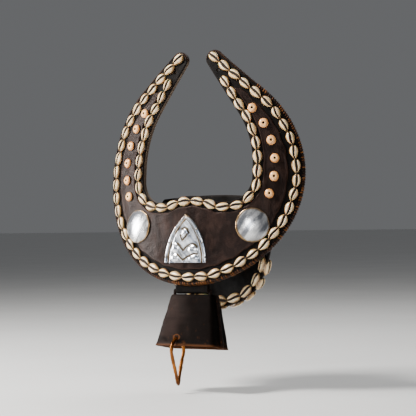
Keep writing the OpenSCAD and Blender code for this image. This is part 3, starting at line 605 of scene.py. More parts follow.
class Shape:
    """Gathers points, faces and the points' tone for one piece."""

    def __init__(self):
        self.points, self.faces, self.tones, self.count = [], [], [], 0

    def add(self, points, faces, hollow=0.0, edge=0.0, chance=0.0):
        self.points.append(points)
        self.faces.extend(tuple(v + self.count for v in f) for f in faces)
        self.count += len(points)
        tone = np.ones((len(points), 4))
        for k, value in enumerate((hollow, edge, chance)):
            tone[:, k] = np.ravel(value)
        self.tones.append(tone)

    def mesh(self, name):
        mesh = bpy.data.meshes.new(name)
        mesh.from_pydata((np.concatenate(self.points) * MM).tolist(), [], self.faces)
        return mesh

    def make(self, name, finish, node=None, body="collar"):
        """The piece on its body, in place of a node of the frame where one is given."""
        material, slot = finish
        mesh = self.mesh(name)
        tone = mesh.attributes.new("tone", "FLOAT_COLOR", "POINT")
        tone.data.foreach_set("color", np.concatenate(self.tones).astype(np.float32).ravel())
        mesh.materials.append(material)
        mesh.validate()
        work = bmesh.new()
        work.from_mesh(mesh)
        bmesh.ops.recalc_face_normals(work, faces=work.faces)
        work.to_mesh(mesh)
        work.free()
        mesh.shade_smooth()
        made = link(name, mesh)
        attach(made, body)
        if node:
            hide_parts(node)
        return made


def piece(name, finish, node, points, faces, hollow=0.0, edge=0.0, body="collar"):
    """A piece of one form only."""
    shape = Shape()
    shape.add(points, faces, hollow, edge)
    return shape.make(name, finish, node, body)


def tube(path, across, through, sides, up, looped=False):
    """An oval tube along a path: across lies square to the path and to up, through along up."""
    path = np.asarray(path, float)
    if looped:
        way = unit(np.roll(path, -1, axis=0) - np.roll(path, 1, axis=0))
    else:
        way = unit(np.gradient(path, axis=0))
    side = unit(np.cross(np.broadcast_to(np.asarray(up, float), path.shape), way))
    top = unit(np.cross(way, side))
    turn = np.arange(sides) * TAU / sides
    wide = (np.cos(turn) * np.reshape(across, (-1, 1)))[..., None]
    high = (np.sin(turn) * np.reshape(through, (-1, 1)))[..., None]
    points, faces = solid(path[:, None] + side[:, None] * wide + top[:, None] * high)
    if looped:
        last = len(points) - sides
        faces[-2:] = [(last + j, last + (j + 1) % sides, (j + 1) % sides, j) for j in range(sides)]
    return points, faces


def lathe(radius, height, sides, lid=False):
    """A turned form, from its foot to its top: shut at the foot, and at the top where it has a lid."""
    turn = np.arange(sides) * TAU / sides
    points = np.array([(r * math.cos(a), r * math.sin(a), z) for r, z in zip(radius, height) for a in turn])
    faces = closed(len(radius), sides)
    return points, faces if lid else faces[:-1]


def cut(made, r, reach, sides, *stands):
    """Takes round bars out of a piece, for good; each stand puts one bar in its place."""
    bars = Shape()
    points, faces = lathe([r, r], [-reach, reach], sides, lid=True)
    for stand in stands:
        bars.add(stand(points), faces)
    tool = link("cutter", bars.mesh("cutter"))
    step = made.modifiers.new("holes", "BOOLEAN")
    step.operation = "DIFFERENCE"
    step.solver = "EXACT"
    step.object = tool
    done = bpy.data.meshes.new_from_object(made.evaluated_get(bpy.context.evaluated_depsgraph_get()))
    made.modifiers.remove(step)
    made.data = done
    bpy.data.objects.remove(tool)


# Outlines of the collar, in its own x and z

LEAST_R = 0.2
CAP_STEPS = 16
RUN_ON = 200.0
HEADING_STEP = 0.5


def arc(cx, cz, r, start, end, steps):
    return points_of(*polar(cx, cz, r, np.linspace(start, end, steps)))


def distances(path):
    """Distance of each point from the start, along the path."""
    return np.concatenate([[0], np.cumsum(np.linalg.norm(np.diff(path, axis=0), axis=1))])


def spaced(path, at):
    """The path at given distances along it."""
    step = distances(path)
    return points_of(np.interp(at, step, path[:, 0]), np.interp(at, step, path[:, 1]))


def headings(path):
    """The way along a path at each of its points, and the way out to its right."""
    way = unit(np.gradient(path, axis=0))
    return way, points_of(way[:, 1], -way[:, 0])


def tip_cap(inset, start, end, steps):
    return arc(*TIP_C, max(TIP_R - inset, LEAST_R), start, end, steps)


def rim_path(inset, past=0.0):
    """Right half of the rim, drawn in by a distance, from the foot to the horn's tip and past it."""
    curve = arc(0, OUTLINE_Z, OUTLINE_R - inset, -QUARTER, RIM_TURN, 120)
    return np.concatenate([curve, tip_cap(inset, RIM_TURN, RIM_TURN + QUARTER + past, 24)])


def opening_path(growth):
    """Right half of the neck opening's edge, grown by a distance, from the middle to the horn's tip."""
    rise_r = RISE_R - growth
    rise_end = math.acos((LOW_Z - growth - RISE_CZ) / rise_r)
    rise = arc(0, RISE_CZ, rise_r, QUARTER, QUARTER - rise_end, 24)
    corner = arc(SIDE_X - CORNER_R, CORNER_Z, CORNER_R + growth, -QUARTER, 0, 32)
    side = arc(SIDE_X - SIDE_R, CORNER_Z + SIDE_RUN, SIDE_R + growth, 0, SIDE_TURN, 40)
    cap = tip_cap(growth, SIDE_TURN + math.pi, RIM_TURN + QUARTER, CAP_STEPS)
    return np.concatenate([rise, corner, side, cap])


def cut_above(path, top):
    """The path up to a height."""
    over = int(np.argmax(path[:, 1] > top))
    a, b = path[over - 1], path[over]
    return np.concatenate([path[:over], [a + (b - a) * (top - a[1]) / (b[1] - a[1])]])


def halves(path, count):
    """A right half, from the foot up, at even steps, made whole from the left tip to the right one."""
    right = spaced(path, np.linspace(0, distances(path)[-1], count))
    return np.concatenate([right[:0:-1] * [-1, 1], right])


def ruffle(path, amount, length, seed):
    """Moves the points of an edge in and out a little, as hand-cut leather has it."""
    out = headings(path)[1]
    return path + out * (amount * waves(distances(path)[:, None], length, seed))[:, None]


def outer_row(s):
    """Place and heading on the outer row, at a distance from the bottom shell."""
    a = min(s / ROW_R - QUARTER, RIM_TURN)
    turn = a + QUARTER
    return *polar(*polar(0, OUTLINE_Z, ROW_R, a), max(s - ROW_ARC, 0.0), turn), turn


def inner_row(s):
    """The same on the inner row, from the middle of the lower edge."""
    path = opening_path(INNER_ROW_OUT)[:-CAP_STEPS]
    end = polar(*path[-1], RUN_ON, SIDE_TURN + QUARTER)
    spot, ahead = spaced(np.concatenate([path, [end]]), [s, s + HEADING_STEP])
    return *spot, math.atan2(ahead[1] - spot[1], ahead[0] - spot[0])


def apron_row(i):
    r = APRON_EDGE_R - APRON_ROW_IN
    a = i * APRON_PITCH / r
    return *polar(APRON_X, APRON_Z, r, a - QUARTER), a


def stud_at(i):
    return polar(0, OUTLINE_Z, OUTLINE_R - STUD_IN - i * STUD_DRIFT, math.radians(STUD_TURN - i * STUD_STEP))


# Leather

EDGE_STEPS = (0, 0.12, 0.4, 1.0, 1.9, 3.0)
TIE_REACH = 40.0
TIE_SIDES = 24


def across_sheet(width, steps, edge_r, middle):
    """Distances across a sheet, dense at its edges, with those to the nearer edge and the rounding there."""
    near = np.array(steps) * edge_r
    near = near * np.minimum(1, width / (2 * near[-1] + 2))
    inside = near[:, -1:] + (width - 2 * near[:, -1:]) * np.linspace(0, 1, middle + 2)[1:-1]
    along = np.concatenate([near, inside, width - near[:, ::-1]], axis=1)
    away = np.minimum(along, width - along)
    return along, away, edge_r * (1 - np.sqrt(1 - np.clip(1 - away / edge_r, 0, 1) ** 2))


def skin(inner, outer, seen, hidden, seed, uneven, edge_r, middle=20, welt=0.0):
    """A closed sheet between two edges over the bent face, with rounded edges and an uneven seen side."""
    gap = outer - inner
    width = np.maximum(np.linalg.norm(gap, axis=1), 1e-6)[:, None]
    along, away, round_off = across_sheet(width, EDGE_STEPS, edge_r, middle)
    flat = inner[:, None] + (along / width)[..., None] * gap[:, None]
    rise = uneven * (waves(flat, 46.0, seed) + 0.4 * waves(flat, 14.0, seed + 1)) * part(away, 0, 4 * edge_r)
    rise += welt * hump(away, 2.2 * edge_r, 1.1 * edge_r) - round_off
    upper = bent(flat, seen + math.copysign(1, seen - hidden) * rise)
    wear = hump(away, 0, 1.6 * edge_r)
    return *solid(folded(upper, bent(flat, hidden))), folded(wear, wear)


def collar_layer(name, finish, node, inset, count, levels, seed, share, uneven, edge_r, middle=20):
    """One layer of the collar, drawn in from its two edges, with the tie holes through it."""
    inner = halves(opening_path(inset[0]), count)
    outer = halves(rim_path(RIM_DRAW + inset[1]), count)
    points, faces, wear = skin(inner, outer, *levels, seed, uneven, edge_r, middle)
    made = piece(name, finish, node, points, faces, wear * share)
    cut(made, TIE_R, TIE_REACH, TIE_SIDES,
        lambda p: on_face(p, -TIE_X, TIE_Z), lambda p: on_face(p, TIE_X, TIE_Z))


def collar_layers():
    collar_layer("face_leather_skin", BLACK_LEATHER, "face_leather", (0, 0), 190,
                 (0.0, -FACE_T), 11, 0.6, 0.2, 1.2)
    collar_layer("collar_core_hide", RAW_HIDE, "collar_core", (0.5, 0.3), 120,
                 (-FACE_T - GLUE, -LINING_AT + GLUE), 19, 0.4, 0.05, 0.5, middle=6)
    collar_layer("back_lining_skin", RAW_HIDE, "back_lining", (0.4, 0.4), 150,
                 (-BACK_AT, -LINING_AT), 17, 0.5, 0.25, 0.8)


def panel_skin():
    inner = ruffle(halves(cut_above(opening_path(PANEL_OUT), PANEL_TOP), 150), 0.5, 40.0, 21)
    outer = ruffle(halves(cut_above(rim_path(PANEL_IN), PANEL_TOP), 150), 0.9, 34.0, 22)
    sheet = skin(inner, outer, PANEL_AT, GLUE, 23, 0.3, 1.1, middle=34, welt=0.15)
    piece("center_panel_skin", PANEL_LEATHER, "center_panel", *sheet)


PAST_TIP = 0.75
STRIP_STEP = 3.0
# Half of the rim strip's section: distances out of the rim, and in from its front or back
STRIP_HALF = ((0.1, 0.1), (0.9, 0.0), (1.9, 0.5), (2.7, 1.6), (3.1, 3.4))


def rim_frames(step):
    """Even places along the whole rim, from the left tip to the right, with the way along and the way out."""
    half = rim_path(RIM_DRAW, PAST_TIP)
    whole = halves(half, int(round(distances(half)[-1] / step)) + 1)
    return whole, *headings(whole)


def rim_strip():
    spots, _, out = rim_frames(STRIP_STEP)
    profile = [(n, RIM_FRONT - d) for n, d in STRIP_HALF] + [(RIM_T, RIM_MID)]
    profile += [(n, RIM_BACK + d) for n, d in STRIP_HALF[::-1]]
    sections = np.stack([bent(spots + out * n, h) for n, h in profile], axis=1)
    piece("rim_binding_strip", BINDING, "rim_binding", *solid(sections))


LACE_STEP = 4.0
LACE_HALF = 0.95
LACE_THICK = 0.5
LACE_SIDES = 8
LACE_TOP = 118.0
LACE_CORE = -0.5
# One turn of the lace, from front to back: distance out of the rim, and height over the face
LACE_TURN = np.array([(-1.3, 0.1), (-0.7, RIM_FRONT), (0.3, RIM_FRONT + 0.4), (1.6, RIM_FRONT + 0.15),
                      (2.9, RIM_FRONT - 1.0), (3.6, RIM_FRONT - 3.2), (3.75, RIM_MID),
                      (3.6, RIM_BACK + 3.2), (2.9, RIM_BACK + 1.0), (1.4, RIM_BACK - 0.25),
                      (-0.6, RIM_BACK - 0.45), (-2.6, -BACK_AT - 0.75), (-3.6, -BACK_AT - 0.1)])


def rim_lacing():
    """Whip lacing over the rim: one slanted thong turn after another, darker toward the left."""
    rng = np.random.default_rng(31)
    n, h = LACE_TURN.T
    between = len(n) - 4
    loose = np.array([1, 1] + [0] * between + [1, 1])
    taper = np.array([0.55, 0.9] + [1.0] * between + [0.9, 0.55])
    slant = np.linspace(-0.5, 0.5, len(n)) * LACE_STEP * 0.8
    shape = Shape()
    for spot, along, side in zip(*rim_frames(LACE_STEP)):
        if spot[1] > LACE_TOP:
            continue
        jitter = rng.normal(0, 0.35, 3)
        grow = rng.uniform(0.9, 1.12)
        reach = n + jitter[0] * loose
        flat = spot + np.outer(reach, side) + np.outer(slant + jitter[1], along)
        away = unit(points_of(reach - LACE_CORE, (h - RIM_MID) * 0.6))
        path = bent(flat, h)
        up = bent(flat + np.outer(away[:, 0], side), h + away[:, 1]) - path
        points, faces = tube(path, LACE_HALF * grow * taper, LACE_THICK * taper, LACE_SIDES, up)
        shape.add(points, faces, chance=rng.uniform(0, 1) * (0.15 + 0.85 * part(spot[0], -150, 130)))
    shape.make("rim_lacing", LACING)


# Shells, studs and the threads that hold them

SHELL_ROWS = 58
SHELL_COLUMNS = 29
SHELL_END = 0.045
SHELL_KINDS = 7
SHELL_LIFT = 0.15
LEFT_SHEAR = 0.42
LEFT_WIDER = 0.45


def cowrie(seed):
    """One shell with its slit upward: two toothed lips, a curved slit and a rounded back edge."""
    rng = np.random.default_rng(seed)
    length, width, height = SHELL
    t = -np.cos(np.linspace(SHELL_END, math.pi - SHELL_END, SHELL_ROWS))
    q = np.linspace(-1, 1, SHELL_COLUMNS)
    t, v = np.meshgrid(t, np.sign(q) * np.abs(q) ** 1.55, indexing="ij")
    end, wing = np.abs(t), np.abs(v)
    skew = rng.uniform(0.12, 0.24)
    half = width / 2 * (1 - end ** 1.9) ** 0.62 * (1 + skew * t)
    bend = rng.uniform(0.3, 1.1)
    slit = bend * (t ** 2 - 0.35) + 0.5 * np.sin(2.9 * t) - 0.4 * (1 - t ** 2)
    x = length / 2 * t
    y = half * v + slit * (1 - wing)
    off = np.abs(y - slit)
    past = off - (0.8 + 0.75 * (1 - t ** 2) + 0.55 * np.clip(t, 0, 1) ** 2 + 0.2 * np.sin(2.2 * t + seed))
    groove = 1 / (1 + np.exp(past / 0.2))
    reach = 1 - end ** 7
    teeth = 0.5 + 0.5 * np.cos(TAU * x / 1.95 + rng.uniform(0, TAU) + 0.8 * np.sign(y - slit))
    z = height * (1 - wing ** 2.5) ** 0.52 * (1 - end ** 3.2) ** 0.42
    z = z - 2.4 * groove * reach * np.minimum(1, half / 3) + 0.32 * hump(past, 1.3, 1.0) * reach
    z = z - 0.42 * teeth * hump(past, 0.55, 0.75) * reach * np.minimum(1, half / 4)
    z = np.maximum(z, 0.0) + 0.9 * hump(end, 1, 0.08) * hump(off, 0, 1.6)
    # Painted shade: near black in the slit, darker between the teeth, and a tan halo beside the slit, wider
    # on one side.
    dark = np.clip(groove * (1 - end ** 18) * 1.15, 0, 1)
    dark = np.maximum(dark, 0.42 * teeth * hump(past, 0.45, 0.5) * reach)
    halo = np.where(y > slit, 3.0, 1.0)
    dark = np.maximum(dark, 0.23 * hump(np.maximum(past, 0), 0, halo) * reach)
    # Share toward the rim and the ends, where the shell material paints shade: brown, then near black.
    edge = np.maximum(wing ** 2.2, end ** 4.5)
    spots = np.arange(t.size).reshape(t.shape)
    rim = np.concatenate([spots[:, 0], spots[::-1, -1]])
    faces = grid(*t.shape) + [tuple(f.tolist()) for f in (rim, spots[0], spots[-1, ::-1])]
    return points_of(x, y, z).reshape(-1, 3), faces, dark, edge


COWRIES = [cowrie(100 + k) for k in range(SHELL_KINDS)]


def add_shell(shape, rng, stand, shear):
    """One shell, a little turned, tipped and resized, stood in its row; a shear moves its top sideways."""
    points, faces, dark, edge = COWRIES[rng.integers(len(COWRIES))]
    size = rng.normal(SHELL_GROWTH, 0.025)
    p = points * [size * rng.normal(1.0, 0.015), size * rng.normal(1.0, 0.03), rng.normal(1.0, 0.05)]
    if rng.uniform() < 0.5:
        p = p * [1, -1, 1]
    x, y, z = p.T
    y = y * (1 + LEFT_WIDER * shear) - z * shear
    y, z = spin(y, z, math.radians(rng.normal(0, 3.0)))
    x, y = spin(x, y, math.radians(rng.normal(0, 3.5)))
    p = points_of(x, y + rng.normal(0, 0.35), z + SHELL_LIFT)
    shape.add(stand(p), faces, dark, edge, rng.uniform(0, 1))


def bead_knot():
    """A flat knot of thread between two shells, with three turns across it."""
    u = np.linspace(0.12, math.pi - 0.12, 11)[:, None]
    w = np.arange(12) * TAU / 12
    swell = np.sin(u) * (1 + 0.16 * np.cos(6 * u))
    return solid(points_of(-1.5 * np.cos(u), 3.0 * swell * np.cos(w), 1.5 * swell * np.sin(w) + 0.8))


def shell_row(name, node, places, stand, seed, between):
    """One row of shells as one piece, and the knots between them as another."""
    rng = np.random.default_rng(seed)
    shells, knots = Shape(), Shape()
    for x, z, turn in places:
        shear = LEFT_SHEAR * part(-x, 50, 70) if stand is on_face else 0.0
        add_shell(shells, rng, lambda p: stand(p, x, z, turn), shear)
    shells.make(name + "_shells", COWRIE, node)
    points, faces = bead_knot()
    for x, z, turn in between:
        grown = points * rng.uniform(0.85, 1.1)
        knots.add(stand(grown, x, z, turn), faces, chance=rng.uniform(0, 1))
    knots.make(name + "_thread", THONG)


def mirrored(places):
    return [(-x, z, math.pi - turn) for x, z, turn in places]


def collar_shells():
    pitch = ROW_LEN / OUTER_ROW_N
    right = [outer_row(i * pitch) for i in range(1, OUTER_ROW_N + 1)]
    gaps = [outer_row((i + 0.5) * pitch) for i in range(OUTER_ROW_N)]
    left = [outer_row(0)] + mirrored(right)
    shell_row("outer_right", "outer_cowries_right", right, on_face, 41, gaps)
    shell_row("outer_left", "outer_cowries_left", left, on_face, 42, mirrored(gaps))
    right = [inner_row((i + 0.5) * INNER_PITCH) for i in range(INNER_ROW_N)]
    gaps = [inner_row(i * INNER_PITCH) for i in range(1, INNER_ROW_N)]
    shell_row("inner_right", "inner_cowries_right", right, on_face, 43, gaps + [inner_row(0)])
    shell_row("inner_left", "inner_cowries_left", mirrored(right), on_face, 44, mirrored(gaps))


APRON_SHELL = np.array([1.22, 1.12, 1.0])
APRON_LIFT = 0.4
APRON_TIP = math.radians(62)
APRON_OUT = 7.5
APRON_IN = 0.5


def before_apron(p, x, z, turn):
    return on_apron(p * APRON_SHELL + [0, 0, APRON_LIFT], x, z, turn, -1)


def behind_apron(p, x, z, turn):
    """Stands shells of the rear row, tipped over the edge toward the right."""
    p = p * APRON_SHELL
    share = part(x, -20, 40)
    out, up = spin(p[:, 1], p[:, 2], -share * APRON_TIP)
    return on_apron(points_of(p[:, 0], share * APRON_OUT + out, up - share * APRON_IN), x, z, -turn, 1)


def apron_shells():
    places = [apron_row(i) for i in range(-APRON_ROW_N, APRON_ROW_N + 1)]
    gaps = [apron_row(i + 0.5) for i in range(-APRON_ROW_N, APRON_ROW_N)]
    shell_row("apron_front", "apron_cowries_front", places, before_apron, 45, gaps)
    shell_row("apron_back", "apron_cowries_back", places, behind_apron, 46, gaps)


# Outline of a stud from its foot to the floor of its hole, as shares of its radius and height
STUD_RADII = np.array([0.80, 0.90, 0.965, 1.0, 0.985, 0.92, 0.81, 0.66, 0.50, 0.38, 0.315, 0.275, 0.25,
                       0.24, 0.24])
STUD_LEVELS = np.array([0.0, 0.02, 0.10, 0.25, 0.42, 0.60, 0.76, 0.885, 0.96, 0.995, 0.985, 0.94, 0.86,
                        0.72, 0.2])
STUD_SIDES = 32


def studs(side, node, seed):
    """Turned bone beads, each with a hole worn round at its top."""
    rng = np.random.default_rng(seed)
    points, faces = lathe(STUD_RADII * (STUD_GROWTH * STUD_D / 2), STUD_LEVELS * STUD_H, STUD_SIDES)
    level = np.repeat(np.arange(len(STUD_RADII)), STUD_SIDES)
    # Painted shade: dark marks the hole, edge the bead's sides, darker toward the foot.
    dark = part(level, 10.5, 2.5)
    edge = part(-level, -8.5, 8.5) ** 1.2
    shape = Shape()
    for i in range(STUD_N):
        x, z = stud_at(i)
        p = points * [rng.normal(1, 0.025), rng.normal(1, 0.025), rng.normal(1, 0.04)]
        p = p * (1 + 0.018 * waves(points, 9.0, seed + i))[:, None] + [0, 0, PANEL_AT]
        shape.add(on_face(p, side * x, z, rng.uniform(0, TAU)), faces, dark, edge, rng.uniform(0, 1))
    shape.make(node + "_beads", BONE, node)


# Path and thickness of a thong's end in a stud's hole, and of its loose tail behind
THONG_END = ((0, 0, -2.0), (0, 0, 1.6), (0.1, 0, 2.8), (0.1, 0.05, 3.2))
THONG_END_R = (1.05, 1.05, 1.0, 0.6)
THONG_TAIL = ((0, 0, 0), (1.8, 1.2, -0.6), (4.0, 1.8, 0.4), (6.2, 1.3, 1.0))
THONG_TAIL_R = ((0.9, 0.85, 0.75, 0.4), (0.6, 0.6, 0.5, 0.3))
KNOT_SIZE = 1.9
KNOT_R = (0.95, 0.8)
FLAP_THONG_IN = 7.0
FLAP_THONG_UP = 8.0


def knot_path(twist):
    """A trefoil, which reads as a small overhand knot."""
    t = np.linspace(0, TAU, 30, endpoint=False) + twist
    ring = points_of(np.sin(t) + 2 * np.sin(2 * t), np.cos(t) - 2 * np.cos(2 * t), -1.3 * np.sin(3 * t))
    return KNOT_SIZE / 3 * ring


def add_knot(shape, rng, x, z, behind):
    """A knot with its tail, at a distance behind the front face."""
    knot = tube(knot_path(rng.uniform(0, TAU)), *KNOT_R, 8, (0.3, 0.2, 1.0), looped=True)
    tail = tube(THONG_TAIL, *THONG_TAIL_R, 8, (0.1, 0.2, 1.0))
    for (points, faces), back in ((knot, 1.3), (tail, 1.6)):
        points = on_face(points - [0, 0, behind + back], x, z, rng.uniform(0, TAU))
        shape.add(points, faces, chance=rng.uniform(0, 1))


def thongs():
    """Thongs of the studs, with an end in front and a knot behind, and of the apron's flaps, with a knot."""
    rng = np.random.default_rng(53)
    stud_shape, flap_shape = Shape(), Shape()
    end, end_faces = tube(THONG_END, THONG_END_R, THONG_END_R, 10, (0, 1, 0))
    step = (FLAP_H - 2 * FLAP_THONG_UP) / (FLAP_THONG_N - 1)
    for side in (-1, 1):
        for i in range(STUD_N):
            x, z = stud_at(i)
            stud_shape.add(on_face(end, side * x, z), end_faces)
            add_knot(stud_shape, rng, side * x, z, BACK_AT)
        for i in range(FLAP_THONG_N):
            z = FLAP_LOW + FLAP_THONG_UP + i * step
            add_knot(flap_shape, rng, side * (FLAP_OUT - FLAP_THONG_IN), z, FLAP_AT + APRON_T)
    stud_shape.make("stud_thong_knots", THONG, "stud_thongs")
    flap_shape.make("apron_thong_knots", THONG, "apron_thongs")


# Silver

DISC_SIDES = 72
DISC_EDGE = 1.1


def disc(side, node, seed):
    """A domed disc with a rolled edge: stained on its inner side, with painted shade and a rougher finish
    toward its foot.
    """
    r = DISC_D / 2
    ring = np.concatenate([[r - 0.9, r - 0.2, r, r - 0.15, r - 0.8], np.linspace(r - 1.8, 1.2, 24), [0.05]])
    dome = DISC_EDGE + (DISC_H - DISC_EDGE) * (1 - (ring[5:] / (r - 1)) ** 2)
    points, faces = lathe(ring, [0.0, 0.15, 0.6, 1.0, 1.15, *dome], DISC_SIDES, lid=True)
    far = np.hypot(points[:, 0], points[:, 1])
    dent = 0.05 * waves(points[:, :2], 19.0, seed)
    points[:, 2] += dent * part(r - far, 0, 4) + 0.2 * waves(points[:, :2], 40.0, seed + 2)
    points[:, :2] *= (1 + 0.008 * waves(points[:, :2], 30.0, seed + 3))[:, None]
    edge = part(far, 0.74 * r, 0.24 * r) ** 1.6
    edge += 0.45 * part(far, 0.7 * r, 0.3 * r) * part(-side * points[:, 0], 0, r)
    # Painted shade: darker, and rougher, toward the disc's lower side.
    painted_foot_shade = 0.42 * part(-points[:, 1] / r, 0.2, 0.8)
    x, z = polar(0, OUTLINE_Z, OUTLINE_R - DISC_IN, -DISC_TURN)
    piece(node + "_dome", SILVER, node, on_face(points + [0, 0, SILVER_AT], side * x, z), faces, painted_foot_shade, edge)


# Chased lines, from one arm over the fold to the other, and raised lobes as centre and half size
VEINS = (((-15.0, 14.5), (-9.5, 9.5), (-3.5, 4.0), (3.0, 8.5), (9.5, 12.0), (16.0, 14.2), (22.0, 13.8)),
         ((-15.5, 31.5), (-13.5, 30.8), (-9.0, 26.0), (-3.5, 19.5), (1.0, 24.5), (6.5, 28.2), (12.5, 30.0),
          (18.0, 28.8), (21.5, 25.0)),
         ((-9.5, 44.5), (-6.0, 35.5), (-1.5, 40.5), (3.0, 45.5)),
         ((-8.5, 54.0), (-3.0, 56.0), (3.0, 54.0), (6.0, 47.5)))
LOBES = ((14.0, 21.0, 8.5, 7.5), (15.5, 6.5, 9.5, 6.0), (-19.0, 24.0, 7.0, 8.0), (-19.5, 8.0, 8.0, 6.5),
         (-1.0, 48.5, 7.0, 7.5))
LOBE_H = 1.7
LINE_WIDE = 1.4
LINE_DEEP = 0.4
BORDER_LINE = STRIP_W + 1.3
LEFT_LINE = 0.36
PLAQUE_ROWS = 230
PLAQUE_COLUMNS = 161


def plaque_half(up):
    """Half width of the pointed arch at a height over its foot."""
    return np.sqrt(PLAQUE_R ** 2 - up ** 2) - PLAQUE_SIDE


def line_gap(u, w, start, end):
    """Distance of each place from a straight line."""
    dx, dy = np.subtract(end, start)
    u, w = u - start[0], w - start[1]
    t = np.clip((u * dx + w * dy) / (dx * dx + dy * dy), 0, 1)
    return np.hypot(u - t * dx, w - t * dy)


def chased(u, w):
    """Height of the leaf that is worked into the plaque, and its dark lines: folds with curled lobes."""
    high = np.zeros(u.shape)
    for at_u, at_w, half_u, half_w in LOBES:
        high += LOBE_H * np.clip(1 - ((u - at_u) / half_u) ** 2 - ((w - at_w) / half_w) ** 2, 0, 1)
    gaps = [line_gap(u, w, *ends) for vein in VEINS for ends in zip(vein[:-1], vein[1:])]
    veins = hump(np.min(gaps, axis=0), 0, LINE_WIDE)
    border = hump(plaque_half(w) - np.abs(u), BORDER_LINE, LINE_WIDE)
    dark = np.maximum(veins, np.where(u < 0, LEFT_LINE, 1.0) * border)
    return high - LINE_DEEP * np.maximum(veins, border), dark


def plaque():
    up = np.linspace(0, PLAQUE_TALL - 0.4, PLAQUE_ROWS)
    w, across = np.meshgrid(up, np.linspace(-1, 1, PLAQUE_COLUMNS), indexing="ij")
    u = plaque_half(w) * across
    high, groove = chased(u, w)
    flat = points_of(u + PLAQUE_X, w + PLAQUE_Z)
    high += SILVER_AT + PLAQUE_T + 0.15 * waves(flat, 30.0, 61)
    points = np.stack([bent(flat, high), bent(flat, SILVER_AT - 0.1)]).reshape(-1, 3)
    n = u.size
    faces = grid(*u.shape)
    faces += [tuple(v + n for v in f) for f in faces]
    spots = np.arange(n).reshape(u.shape)
    rim = np.concatenate([spots[0], spots[1:, -1], spots[-1, -2::-1], spots[-2:0:-1, 0]]).tolist()
    faces += [(a, b, b + n, a + n) for a, b in zip(rim, rim[1:] + rim[:1])]
    rust = 0.8 * hump(u, -31, 9) * hump(w, 5, 12) + 0.9 * hump(w, PLAQUE_TALL - 6, 8)
    piece("plaque_leaf", SILVER_PLAQUE, "plaque_panel", points, faces, (groove, groove), (rust, rust))


# Section of the plaque's strip: distance in from its outer edge, and height
TRIM = ((0.0, -0.9), (0.05, 0.5), (0.6, 1.1), (1.8, 1.4), (3.5, 1.5), (5.2, 1.35), (6.3, 0.95),
        (STRIP_W - 0.05, 0.3), (STRIP_W, -0.6))
TRIM_AT = SILVER_AT + PLAQUE_T + GLUE
NAIL_TURNS = (5, 19, 33)
NAIL_AT = TRIM_AT + 1.2
HEAD_SIDES = 16
# Radius and height of a nail's and of a rivet's head, from foot to top
NAIL_HEAD = ((1.45, 1.6, 1.45, 1.0, 0.4, 0.02), (0.0, 0.3, 0.75, 1.05, 1.2, 1.22))
RIVET_HEAD = ((1.8, 1.85, 1.6, 1.1, 0.5, 0.02), (0.0, 0.35, 0.8, 1.1, 1.25, 1.28))


def plaque_trim():
    """The strip on the plaque's two curved sides, with its nails; the left side is more stained."""
    strip, heads = Shape(), Shape()
    head, head_faces = lathe(*NAIL_HEAD, HEAD_SIDES)
    up = np.linspace(0, PLAQUE_TALL + 0.6, 60)[:, None]
    a = np.arcsin(up / PLAQUE_R)
    n, h = np.array(TRIM).T
    x, z = polar(-PLAQUE_SIDE, PLAQUE_Z, PLAQUE_R - n, a)
    lines = np.abs(n - STRIP_W / 2) > 0.3 * STRIP_W
    for side, stain, lined, black in ((-1, 0.45, 0.5, 0.3), (1, 0.25, 0.2, 1.0)):
        flat = points_of(PLAQUE_X + side * np.maximum(x, -0.2), z)
        sections = bent(flat, TRIM_AT + h + 0.16 * waves(flat, 16.0, 63))
        rust = stain + 0.15 * waves(np.hstack([up, up]), 40.0, 64 + side)[:, None]
        edge = rust + 0.7 * (up / PLAQUE_TALL) ** 10 + lined * lines
        dark = np.tile(black * part(n, STRIP_W - 1.7, 1.0), len(up))
        strip.add(*solid(sections), dark, edge)
        for turn in NAIL_TURNS:
            out, rise = polar(-PLAQUE_SIDE, PLAQUE_Z, PLAQUE_R - BORDER_W / 2, math.radians(turn))
            heads.add(on_face(head + [0, 0, NAIL_AT], PLAQUE_X + side * out, rise), head_faces)
    strip.make("plaque_edging", SILVER_PLAQUE, "plaque_border")
    heads.make("plaque_nail_heads", NAIL_METAL, "plaque_nails")


# Apron and hanger

APRON_STEPS = (0, 0.1, 0.35, 0.9, 1.8, 3.0)
APRON_ROUND = 1.8
APRON_CLEAR = 0.3
APRON_LAP = 0.6


def apron_reach():
    """Half width at which the bulge comes up against the collar's back."""
    r = BEND_R - BACK_AT - RIM_LAP - APRON_CLEAR
    x = np.linspace(60, FLAP_OUT, 2000)
    gap = APRON_CY + np.sqrt(APRON_R ** 2 - x ** 2) - (BEND_R - np.sqrt(r ** 2 - x ** 2))
    return x[np.argmax(gap < 0)]


